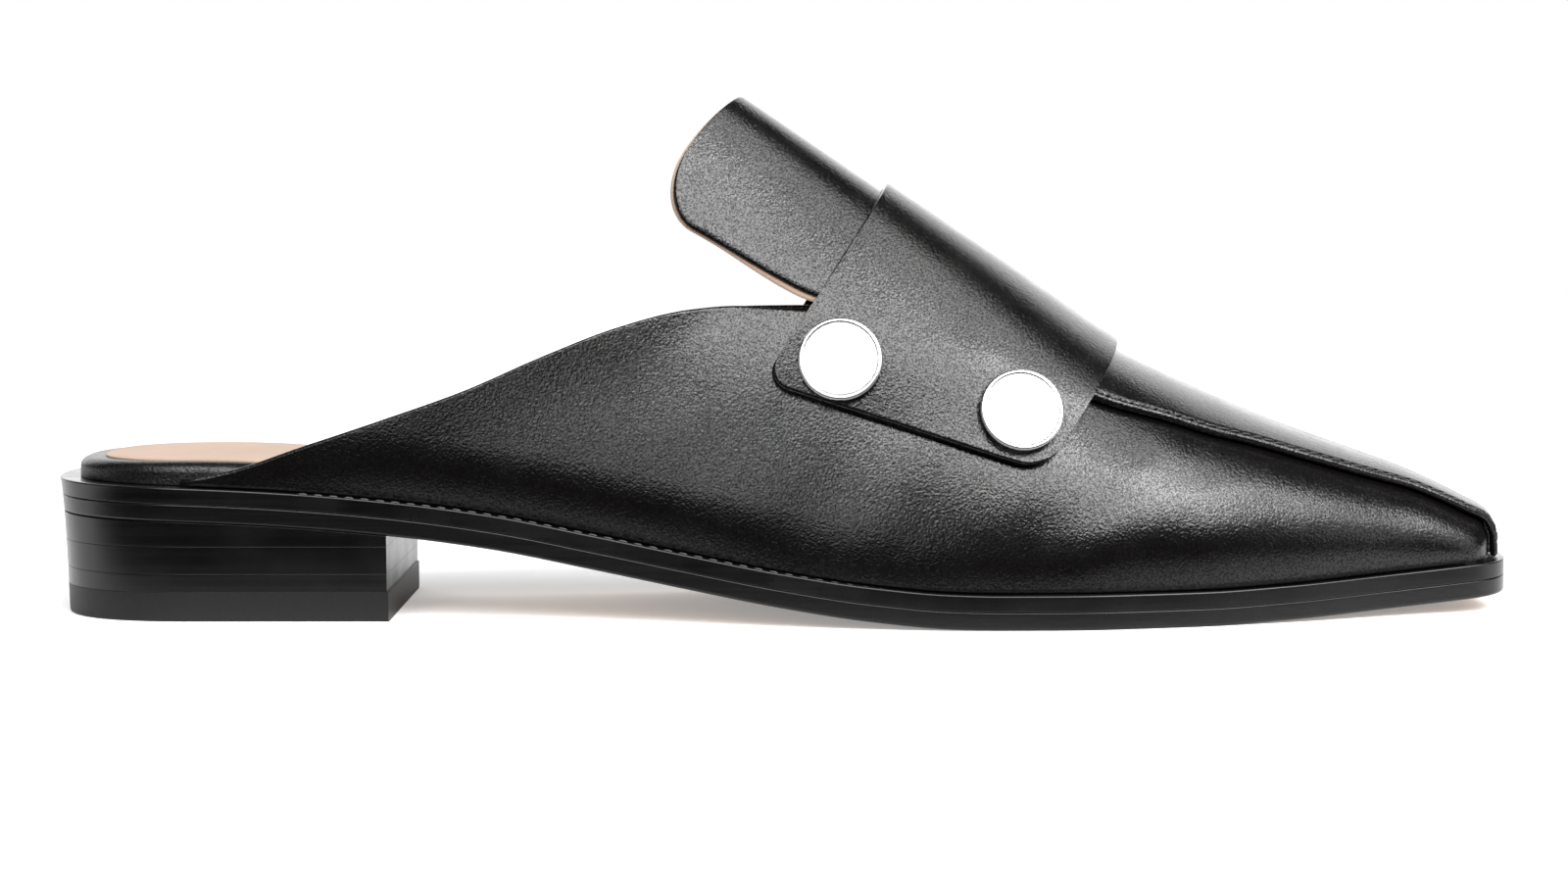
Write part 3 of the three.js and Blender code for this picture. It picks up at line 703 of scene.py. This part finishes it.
ridge_steps = np.hypot(
    np.diff(SECTIONS["ridge"] * SHOE_LENGTH / 100), np.diff(SECTIONS["height"] * INSTEP_RISE / 100)
)
ridge_run = np.concatenate([[0], np.cumsum(ridge_steps)])
ridge_run -= ridge_run[TONGUE_ROW]
TOE_DISTANCE = ridge_run[-1]
spaced = np.array(
    [(run, *row) for run, row in zip(ridge_run, SECTIONS)],
    dtype=[("distance", float)] + SECTIONS.dtype.descr,
)
section_curves = {column: curve(spaced, "distance", column) for column in SECTIONS.dtype.names}


class Section:
    """The sections at distances along the ridge from the tongue's back edge, as arrays."""

    def __init__(self, distance):
        values = {column: through(distance) for column, through in section_curves.items()}
        self.square, self.taper, self.apron = values["square"], values["taper"], values["apron"]
        self.foot_x = values["foot"] * SHOE_LENGTH / 100
        self.foot_z = sole_top(self.foot_x) + LAYER_GAP
        ridge_x = values["ridge"] * SHOE_LENGTH / 100
        ridge_z = values["height"] * INSTEP_RISE / 100
        self.rise = np.hypot(ridge_x - self.foot_x, ridge_z - self.foot_z)
        self.up_x = (ridge_x - self.foot_x) / self.rise
        self.up_z = (ridge_z - self.foot_z) / self.rise
        self.foot_lateral = sole_lateral(self.foot_x) - LEDGE
        self.foot_medial = sole_medial(self.foot_x) - LEDGE
        lateral = self.foot_lateral + values["swell_lateral"]
        medial = self.foot_medial + values["swell_medial"]
        self.centre = (medial - lateral) / 2
        self.half = (medial + lateral) / 2


def skin(section, side, angle, out):
    """Points that stand out from the upper's face. Each section is half a superellipse, from the
    feather line at angle 0 to the ridge at a quarter turn, on side -1 lateral or 1 medial. Near
    the feather line it is pinched in by its swell."""
    across = np.cos(angle).clip(0) ** (2 / section.square)
    climb = np.sin(angle).clip(0) ** (2 / section.square)
    rise, half = section.rise + out, section.half + out
    lateral_foot = section.centre + section.foot_lateral
    foot_half = np.where(side < 0, lateral_foot, section.foot_medial - section.centre)
    swell = half - (foot_half + out)
    swell_top = np.minimum(0.5, SWELL_HEIGHT / section.rise)
    pinch = swell * np.clip(1 - climb / swell_top, 0, 1) ** 2
    width = half * across * (1 - section.taper * climb) - pinch
    along = section.foot_x + section.up_x * rise * climb
    height = section.foot_z + section.up_z * rise * climb
    return np.stack(np.broadcast_arrays(along, section.centre + side * width, height), axis=-1)


def climb_angle(section, climb):
    """The angle at which a section has climbed a share of its rise."""
    return np.arcsin(np.clip(climb, 0, 1) ** (section.square / 2))


def halved(low, high, test):
    """The value between low and high at which a test turns true, by halving the gap 40 times."""
    for _ in range(40):
        middle = (low + high) / 2
        past = test(middle)
        low, high = np.where(past, low, middle), np.where(past, middle, high)
    return (low + high) / 2


def top_line_climb(section, side):
    """The share of each section's rise at which it crosses the top line of the quarters."""
    def above(climb):
        x = section.foot_x + section.up_x * section.rise * climb
        z = section.foot_z + section.up_z * section.rise * climb
        return z > top_line_height(x) - (top_line_drop(x) if side > 0 else 0)

    zero = np.zeros_like(section.rise)
    return np.where(above(zero + 1), halved(zero, zero + 1, above), 1.0)


def crowded(count, start, end):
    """Shares from 0 to 1, packed closer at the start and at the end by these powers."""
    u = np.linspace(0, 1, count)
    low, high = u**start, 1 - (1 - u) ** end
    return low * (1 - u) + high * u


def edge_distance(points, free):
    """How far each point of a grid lies from the nearest of its free edges: first row, last row,
    first column, last column. Lengths are measured along the grid's own lines."""
    far = np.full(points.shape[:2], 1e3)
    for axis, (first, last) in enumerate((free[:2], free[2:])):
        steps = np.linalg.norm(np.diff(points, axis=axis), axis=2)
        blank = np.zeros_like(steps.take([0], axis=axis))
        run = np.concatenate([blank, np.cumsum(steps, axis=axis)], axis=axis)
        if first:
            far = np.minimum(far, run)
        if last:
            far = np.minimum(far, run.take([-1], axis=axis) - run)
    return far


def sheet(form, low, high, edge, free=(True, True, True, True), relief=0.0):
    """A sheet of leather between two offsets of a form, closed and round along its free edges:
    within edge millimetres of one, its half thickness follows a quarter of an ellipse. relief
    is cut off its outer face."""
    middle, half = (low + high) / 2, (high - low) / 2
    far = edge_distance(form(middle), free)
    full = np.sqrt(1 - np.clip(1 - far / edge, 0, 1) ** 2)
    outer = form(middle + half * full - relief * full)
    inner = form(middle - half * full)
    rows, columns = outer.shape[:2]
    faces = grid_faces(rows, columns)
    return np.concatenate([outer.reshape(-1, 3), inner.reshape(-1, 3)]), np.concatenate(
        [faces, faces[:, ::-1] + rows * columns]
    )


def joined(parts):
    """Several sheets as one set of points and faces."""
    starts = np.cumsum([0] + [len(points) for points, _ in parts])
    faces = [faces + start for (_, faces), start in zip(parts, starts)]
    return np.concatenate([points for points, _ in parts]), np.concatenate(faces)


UPPER_LEATHER = 1.15
LINING_LEATHER = 0.75
QUARTER_ROWS, VAMP_ROWS, UPPER_COLUMNS = 110, 120, 74
TOP_LINE_ROLL = 0.9
LINING_SHY = 0.5

throat = halved(
    np.float64(0), np.float64(80), lambda distance: top_line_climb(Section(distance), -1) >= 1
)

# Soft troughs (negative) and ridges (positive) of the worn-in leather: where each lies along the
# ridge and as a share of the climb, how far it reaches along and up, how it leans, and how high.
CREASES = table(
    "distance climb along up lean height",
    (22, 0.63, 7, 0.10, 0.012, -0.55),
    (34, 0.50, 9, 0.16, 0.006, 0.35),
    (4, 0.30, 20, 0.14, 0.004, -0.5),
    (-22, 0.18, 22, 0.12, 0.003, 0.35),
    (96, 0.36, 9, 0.16, 0.010, -0.25),
    (112, 0.52, 8, 0.10, 0.012, 0.15),
)


def creases(distance, climb):
    """The height of all creases at a place: each is a bell that leans forward as it climbs."""
    total = np.zeros(np.broadcast(distance, climb).shape)
    for row in CREASES:
        along = (distance - row["distance"]) / row["along"]
        up = (climb - row["climb"] - row["lean"] * (distance - row["distance"])) / row["up"]
        total += row["height"] * np.exp(-(along**2) - up**2)
    return total


def upper_half(side, low, high, shy, edge):
    """One side of the upper between two offsets, from the point beside the heel to the toe. Its
    top edge stays shy of the top line by some millimetres, and closes on the ridge past the
    throat."""
    rear = halved(
        np.float64(spaced["distance"][0]),
        np.float64(0),
        lambda d: top_line_climb(Section(d), side) * Section(d).rise > SHORTEST_QUARTER + shy,
    )
    quarter = rear + (throat - rear) * np.sin(np.linspace(0, np.pi / 2, QUARTER_ROWS)[:-1])
    vamp = throat + (TOE_DISTANCE - throat) * crowded(VAMP_ROWS, 1.0, 2.2)
    distance = np.concatenate([quarter, vamp])[:, None]
    section = Section(distance)
    climb = top_line_climb(section, side)
    short = np.where(distance < throat, shy / section.rise, 0)
    top = climb_angle(section, (climb - short).clip(0.004))
    top = np.where(distance >= throat, np.pi / 2, top)
    angle = top * crowded(UPPER_COLUMNS, 1.8, 1.8)
    lift = creases(distance, np.sin(angle)) if side < 0 else creases(distance, np.sin(angle)) * 0.6

    def form(out):
        points = skin(section, side, angle, out + lift)
        seat = np.exp(-((points[..., 2] - sole_top(points[..., 0]) - LAYER_GAP) / 0.8) ** 2)
        points[..., 2] -= seat * (LAYER_GAP - 0.04)
        return points

    points, faces = sheet(form, low, high, edge, free=(True, False, True, False))
    # The top edge is free behind the throat only, so its rows are closed here by hand.
    rows, columns = angle.shape
    outer, inner = points.reshape(2, rows, columns, 3)
    run = np.linalg.norm(np.diff(outer, axis=1), axis=2)
    to_top = np.concatenate([np.cumsum(run[:, ::-1], axis=1)[:, ::-1], np.zeros((rows, 1))], axis=1)
    open_share = np.where(distance < throat - 0.01, 1.0, 0.0)
    full = np.sqrt(1 - np.clip(1 - to_top / edge, 0, 1) ** 2)
    full = 1 - (1 - full) * open_share
    middle = (outer + inner) / 2
    half = (outer - inner) / 2 * full[..., None]
    return np.concatenate([(middle + half).reshape(-1, 3), (middle - half).reshape(-1, 3)]), faces


upper_points, upper_faces = joined(
    [upper_half(side, -UPPER_LEATHER, 0.0, 0.0, TOP_LINE_ROLL) for side in (-1, 1)]
)
calf = black_leather("fine_grained_calf", grain=0.62, depth=0.038, roughness=0.2)
upper = put_mesh("upper_calf", upper_points, upper_faces, calf)
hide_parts("upper")

lining_points, lining_faces = joined(
    [
        upper_half(side, -UPPER_WALL, -UPPER_WALL + LINING_LEATHER, LINING_SHY, 0.5)
        for side in (-1, 1)
    ]
)
lining_finish = lining_leather("quarter_lining_leather")
lining = put_mesh("upper_lining", lining_points, lining_faces, lining_finish)


# ---- tongue and apron ----
# A raised plug of the same calf that covers the forefoot, runs down the front of the toe, and
# stands free as a tongue behind the strap, where it is lined. Its edge is rolled, and a line of
# stitching in a shallow channel holds it to the vamp.

STRAP_REAR = 33
STRAP_FRONT = 86.8
APRON_WALL = 1.6
TONGUE_CORNER = 9
TONGUE_REACH = 31
TONGUE_BOW = 2.4
TONGUE_LINING = 0.55
TONGUE_ROWS, TONGUE_COLUMNS = 430, 92
CHANNEL_INSET, CHANNEL_WIDTH, CHANNEL_DEPTH = 1.4, 0.42, 0.22
RIM_WIDTH, RIM_DROP = 1.0, 0.14
APRON_STITCH = {"pitch": 2.4, "length": 1.9, "radius": 0.17, "sunk": -0.02}
PUCKER_PITCH, PUCKER_HEIGHT, PUCKER_BAND = 1.45, 0.16, 0.7
TONGUE_ROLL = 0.95
STITCH_SINKS = 0.55


def corner_cut(distance, radius):
    """How much a rounded corner takes off an edge, this far from the corner's side."""
    short = np.clip(radius - distance, 0, radius)
    return radius - np.sqrt(radius**2 - short**2)


def apron_angle(section, half):
    """The angle at which a section is this far from its centre line."""
    return np.arccos(np.clip(half / section.half, 0, 1) ** (section.square / 2))


def tongue_form(distance, across, past_back=0.0, past_side=0.0):
    """The face of tongue and apron: across runs from -1 at the lateral edge to 1 at the medial
    edge, and the back corners are rounded. past_back and past_side carry it past its edges."""
    kept = 1 - corner_cut(distance, TONGUE_CORNER) / TONGUE_REACH
    bow = TONGUE_BOW * np.clip(1 - distance / STRAP_REAR, 0, None)
    reach = np.abs(across)
    back = past_back * np.clip(1 - distance / TONGUE_CORNER, 0, 1)
    section = Section(distance - bow * smoothstep(reach, 0, 1) - back)
    half = section.apron + past_side
    edge = np.pi / 2 + (apron_angle(section, half) - np.pi / 2) * kept
    angle = np.pi / 2 + (edge - np.pi / 2) * reach
    return lambda out: skin(section, np.where(across < 0, -1, 1), angle, out)


def both_ways(count, power):
    """Shares from -1 to 1, packed closer at both ends and evenly about the middle."""
    half = 1 - (1 - np.linspace(0, 1, count // 2 + 1)) ** power
    return np.concatenate([-half[:0:-1], half])


tongue_rows = TOE_DISTANCE * crowded(TONGUE_ROWS, 1.5, 1.5)[:, None]
tongue_across = both_ways(TONGUE_COLUMNS, 1.9)[None, :]
tongue_face = tongue_form(tongue_rows, tongue_across)
tongue_skin = tongue_face(LAYER_GAP + APRON_WALL)
side_distance = edge_distance(tongue_skin, (False, False, True, True))
channel_share = smoothstep(tongue_rows, STRAP_FRONT - 6, STRAP_FRONT - 2)
channel = np.exp(-(((side_distance - CHANNEL_INSET) / CHANNEL_WIDTH) ** 2)) * CHANNEL_DEPTH
pucker_share = 0.2 + 0.8 * (1 - smoothstep(tongue_rows, STRAP_FRONT + 12, STRAP_FRONT + 26))
pucker_wave = np.cos(2 * np.pi * (tongue_rows + 0.8 * side_distance) / PUCKER_PITCH)
pucker_band = np.exp(-(((side_distance - CHANNEL_INSET) / PUCKER_BAND) ** 2))
rim = (1 - smoothstep(side_distance, 0, RIM_WIDTH)) * RIM_DROP
relief = (channel + rim + PUCKER_HEIGHT * pucker_wave * pucker_band * pucker_share) * channel_share

lined = 1 - smoothstep(tongue_rows, STRAP_FRONT - 14, STRAP_FRONT - 4)
tongue_low = LAYER_GAP + lined * (TONGUE_LINING + 0.05)
tongue_points, tongue_faces = sheet(
    tongue_face, tongue_low, LAYER_GAP + APRON_WALL, edge=TONGUE_ROLL, relief=relief
)
tongue = put_mesh("tongue_and_apron_calf", tongue_points, tongue_faces, calf)
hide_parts("tongue")

lining_rows = (STRAP_FRONT - 8) * crowded(120, 1.5, 1.0)[:, None]
lining_across = both_ways(60, 1.7)[None, :]
shows_side = 0.02 + 0.24 * smoothstep(lining_rows, 12, 30)
lining_face = tongue_form(lining_rows, lining_across, past_back=0.3, past_side=shows_side)
tongue_lining_points, tongue_lining_faces = sheet(
    lining_face, LAYER_GAP, LAYER_GAP + TONGUE_LINING, edge=0.3
)
tongue_lining = put_mesh("tongue_lining", tongue_lining_points, tongue_lining_faces, lining_finish)


def along_edge(points, inset, column_order):
    """The line on a grid that keeps an inset from its first column, or from its last where the
    columns are taken in reverse."""
    grid = points[:, ::column_order]
    run = np.cumsum(np.linalg.norm(np.diff(grid, axis=1), axis=2), axis=1)
    after = (run < inset).sum(axis=1)
    rows = np.arange(len(grid))
    before = np.where(after > 0, run[rows, after - 1], 0)
    share = ((inset - before) / (run[rows, after] - before))[:, None]
    return grid[rows, after] * (1 - share) + grid[rows, after + 1] * share


seam_rows = (tongue_rows[:, 0] > STRAP_FRONT - 3) & (tongue_rows[:, 0] < TOE_DISTANCE - 1.5)
tongue_under = tongue_face(LAYER_GAP + APRON_WALL - 1)
seam_lines = []
for order in (1, -1):
    seam_path = along_edge(tongue_skin, CHANNEL_INSET, order)[seam_rows]
    seam_up = seam_path - along_edge(tongue_under, CHANNEL_INSET, order)[seam_rows]
    seam_path = seam_path - unit(seam_up) * CHANNEL_DEPTH * STITCH_SINKS
    near_strap = 1 - smoothstep(tongue_rows[seam_rows, 0], STRAP_FRONT + 10, STRAP_FRONT + 22)
    seam_lines.append(stitches(seam_path, seam_up, slant=0.15 + 0.5 * near_strap, **APRON_STITCH))
black_thread = thread_finish("black_thread", (0.05, 0.047, 0.045, 1))
seam = put_stitches("apron_stitching", seam_lines, black_thread)


# ---- strap ----
# A wide band of calf laid over tongue and instep, one thick sheet with rounded edges. Its ends
# lie flat on the quarters, and two snaps sit on the lateral one.

STRAP_WALL = 1.7
STRAP_LIFT = 0.5
STRAP_REAR_DEPTH, STRAP_FRONT_DEPTH = 43.2, 27
STRAP_LEAN = 0.8
STRAP_CORNER = 5
STRAP_ROWS, STRAP_COLUMNS = 90, 150


def strap_underside(section, angle):
    """How far the strap's underside stands out: over the apron, then down onto the quarter."""
    beside = section.half * np.cos(angle).clip(0) ** (2 / section.square) - section.apron
    return (APRON_WALL + 2 * LAYER_GAP) + (STRAP_LIFT - APRON_WALL - 2 * LAYER_GAP) * smoothstep(
        beside, 0.6, 9
    )


def strap_end(section, depth):
    """The angle at a depth below the strap's own ridge."""
    return climb_angle(section, 1 - depth / (section.rise + LAYER_GAP + APRON_WALL + STRAP_WALL))


def strap_form(along, across):
    """The strap's underside: along runs 0 to 1 from its rear to its front edge, and across runs
    from -1 at the lateral end to 1 at the medial end. Each corner is rounded."""
    reach = np.abs(across)
    front = STRAP_FRONT - STRAP_LEAN * reach**2
    distance = STRAP_REAR + (front - STRAP_REAR) * along
    section = Section(distance)
    from_edge = np.minimum(distance - STRAP_REAR, front - distance)
    depth = STRAP_REAR_DEPTH + (STRAP_FRONT_DEPTH - STRAP_REAR_DEPTH) * along
    end = strap_end(section, depth - corner_cut(from_edge, STRAP_CORNER))
    angle = np.pi / 2 + (end - np.pi / 2) * reach
    under = strap_underside(section, angle)
    return lambda out: skin(section, np.where(across < 0, -1, 1), angle, under + out)


strap_rows = (both_ways(STRAP_ROWS, 1.8)[:, None] + 1) / 2
strap_across = both_ways(STRAP_COLUMNS, 1.5)[None, :]
strap_points, strap_faces = sheet(strap_form(strap_rows, strap_across), 0.0, STRAP_WALL, edge=0.45)
strap = put_mesh("strap_calf", strap_points, strap_faces, calf)
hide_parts("strap")


# ---- snaps ----
# Two wide polished caps with the look of nickel plate. Each is slightly domed inside a thin
# rolled rim, and a short post sinks into the strap.

STUD_RADIUS = 7.85
STUD_SEAT = 0.7
STUD_THICK = 1.9
STUD_RIM = 0.55
STUD_CROWN = 0.22
POST_RADIUS, POST_LENGTH = 2.0, 1.2
STUDS = {"stud_rear": (10, 32.2), "stud_front": (43.4, 20.9)}


def nickel():
    """Polished plate with faint spinning marks and a few hairlines."""
    shader = Shader("polished_nickel")
    haze = shader.noise(240, 3.0)
    hairs = shader.noise(1, 3.0, shader.stretched(300, 300, 4200))
    roughness = shader.spread(haze, 0.3, 0.7, 0.24, 0.32)
    normal = shader.bump(hairs, 0.004)
    return shader.finish(
        Base_Color=(0.90, 0.90, 0.91, 1), Metallic=1.0, Roughness=roughness, Normal=normal
    )


def cap_profile():
    """Radius and height from the middle of the dome, over a shallow groove and the rolled rim,
    back under the cap and down the post."""
    dome = np.linspace(0, 1, 26)
    dome_radius = dome * (STUD_RADIUS - 2 * STUD_RIM)
    rim_top = STUD_SEAT + STUD_THICK - STUD_CROWN
    dome_height = rim_top - 0.1 + (STUD_CROWN + 0.1) * (1 - dome**2)
    turn = np.linspace(np.pi, -np.pi / 2, 18)
    rim_radius = STUD_RADIUS - STUD_RIM + STUD_RIM * np.cos(turn)
    rim_height = rim_top - STUD_RIM * 0.9 + STUD_RIM * np.sin(turn).clip(-1, 1)
    under = [(STUD_RADIUS - 2 * STUD_RIM, STUD_SEAT - 0.3), (POST_RADIUS, STUD_SEAT - 0.3)]
    post = [(POST_RADIUS, STUD_SEAT - POST_LENGTH), (0, STUD_SEAT - POST_LENGTH)]
    lower = np.array(under + post)
    radius = np.concatenate([dome_radius, rim_radius, lower[:, 0]])
    return radius, np.concatenate([dome_height, rim_height, lower[:, 1]])


def snap_place(along, depth):
    """The centre of a snap on the strap's lateral face, and its three axes as columns: two in
    the face and one square off it."""
    def at(distance, turn):
        section = Section(np.float64(distance))
        return skin(section, -1, turn, strap_underside(section, turn) + STRAP_WALL)

    distance = STRAP_REAR + along
    angle = strap_end(Section(np.float64(distance)), depth)
    centre = at(distance, angle)
    forward = unit(at(distance + 1, angle) - centre)
    upward = unit(at(distance, angle + 0.02) - centre)
    outward = unit(np.cross(forward, upward))
    outward = outward if outward[1] < 0 else -outward
    sideways = unit(np.cross(upward, outward))
    return centre, np.stack([sideways, np.cross(outward, sideways), outward])


nickel_finish = nickel()
for node, (along, depth) in STUDS.items():
    centre, axes = snap_place(along, depth)
    radius, height = cap_profile()
    angle = np.linspace(0, 2 * np.pi, 97)
    local = np.stack(
        [
            radius[:, None] * np.cos(angle),
            radius[:, None] * np.sin(angle),
            np.broadcast_to(height[:, None], (len(height), len(angle))),
        ],
        axis=-1,
    )
    cap_faces = grid_faces(len(height), len(angle))
    cap = put_mesh(node + "_cap", centre + local @ axes, cap_faces, nickel_finish)
    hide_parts(node)


# ---- studio ----
# White paper that shows even but throws little light back in front of the shoe, a wide soft
# light in front, three smaller ones over, beside and below it, a low wide one behind, and a
# fill at either end.

FLOOR_BACK, FLOOR_FRONT, FLOOR_SIDE = 1.45, -1.6, 2.2
PAPER_NEAR, PAPER_FAR = 0.03, 0.08
PAPER_GLOW = 0.28
PAPER_SEEN = (0.94, 0.94, 0.94, 1)
PAPER_LIGHT, PAPER_DARK = (0.8, 0.8, 0.8, 1), (0.01, 0.01, 0.01, 1)
SURROUND_THROWN, SURROUND_SEEN = 0.05, 1.0
CAMERA_AWAY, CAMERA_HEIGHT, CAMERA_DOWN = 0.65, 0.083, 0.07837
CAMERA_LENS = 76.68


def floor_finish():
    """Matt white paper. The camera sees it even and faintly glowing; all other rays meet paper
    that turns dark from the shoe's near side forwards."""
    shader = Shader("white_paper")
    across = shader.add("SeparateXYZ", {"Vector": shader.place}, output=1)
    thrown = shader.blend(shader.spread(across, -PAPER_NEAR, -PAPER_FAR), PAPER_LIGHT, PAPER_DARK)
    seen = shader.add("LightPath", {})
    colour = shader.blend(seen, thrown, PAPER_SEEN)
    glow = shader.add("Math", {0: seen, 1: PAPER_GLOW}, operation="MULTIPLY")
    return shader.finish(
        Base_Color=colour,
        Roughness=0.9,
        Specular_IOR_Level=0.0,
        Emission_Color=(1, 1, 1, 1),
        Emission_Strength=glow,
    )


floor_mesh = bpy.data.meshes.new("floor")
floor_corners = [
    (-FLOOR_SIDE, FLOOR_FRONT, 0),
    (FLOOR_SIDE, FLOOR_FRONT, 0),
    (FLOOR_SIDE, FLOOR_BACK, 0),
    (-FLOOR_SIDE, FLOOR_BACK, 0),
]
floor_mesh.from_pydata(floor_corners, [], [(0, 1, 2, 3)])
floor_mesh.materials.append(floor_finish())
floor = bpy.data.objects.new("floor", floor_mesh)
bpy.context.scene.collection.objects.link(floor)


def soft_light(name, place, target, width, height, radiance):
    """A rectangular soft light that faces a target."""
    light = bpy.data.lights.new(name, "AREA")
    light.shape = "RECTANGLE"
    light.size, light.size_y = width, height
    light.energy = radiance * np.pi * width * height
    lamp = bpy.data.objects.new(name, light)
    lamp.location = place
    lamp.rotation_euler = (Vector(target) - Vector(place)).to_track_quat("-Z", "Y").to_euler()
    lamp.visible_camera = False
    bpy.context.scene.collection.objects.link(lamp)


soft_light("front_softbox", (0.52, -1.38, 1.24), (0.52, 0, 0.04), 2.4, 1.05, 7.9)
soft_light("front_glow", (0.95, -0.58, 1.65), (0.1, 0, 0.04), 1.2, 1.1, 4.2)
soft_light("toe_key", (1.5, -0.98, 1.48), (0.1, 0, 0.04), 1.5, 1.0, 4.6)
soft_light("low_glow", (-0.4, -1.33, 0.42), (-0.1, 0, 0.04), 0.5, 0.6, 2.6)
soft_light("back_panel", (0.0, 1.7, 0.85), (0, 0, 0.1), 4.0, 1.65, 2.0)
soft_light("heel_fill", (-1.6, -0.5, 0.4), (-0.1, 0, 0.02), 0.9, 0.8, 0.6)
soft_light("toe_fill", (1.7, -0.6, 0.4), (0.1, 0, 0.02), 0.9, 0.8, 1.4)

world = bpy.data.worlds.new("studio")
world.use_nodes = True
tree = world.node_tree
background = tree.nodes["Background"]
background.inputs["Color"].default_value = (1, 1, 1, 1)
seen = tree.nodes.new("ShaderNodeLightPath").outputs["Is Camera Ray"]
strength = tree.nodes.new("ShaderNodeMapRange")
strength.inputs["To Min"].default_value = SURROUND_THROWN
strength.inputs["To Max"].default_value = SURROUND_SEEN
tree.links.new(seen, strength.inputs["Value"])
tree.links.new(strength.outputs[0], background.inputs["Strength"])
bpy.context.scene.world = world
bpy.context.scene.view_settings.view_transform = "Standard"

camera_data = bpy.data.cameras.new("camera")
camera_data.lens = CAMERA_LENS
camera_data.sensor_width = 36
camera_data.clip_start = 0.01
camera = bpy.data.objects.new("camera", camera_data)
camera.location = (0, CENTRE_LINE * MM - CAMERA_AWAY, CAMERA_HEIGHT)
camera.rotation_euler = (np.pi / 2 - CAMERA_DOWN, 0, 0)
bpy.context.scene.collection.objects.link(camera)
bpy.context.scene.camera = camera

bpy.context.view_layer.update()
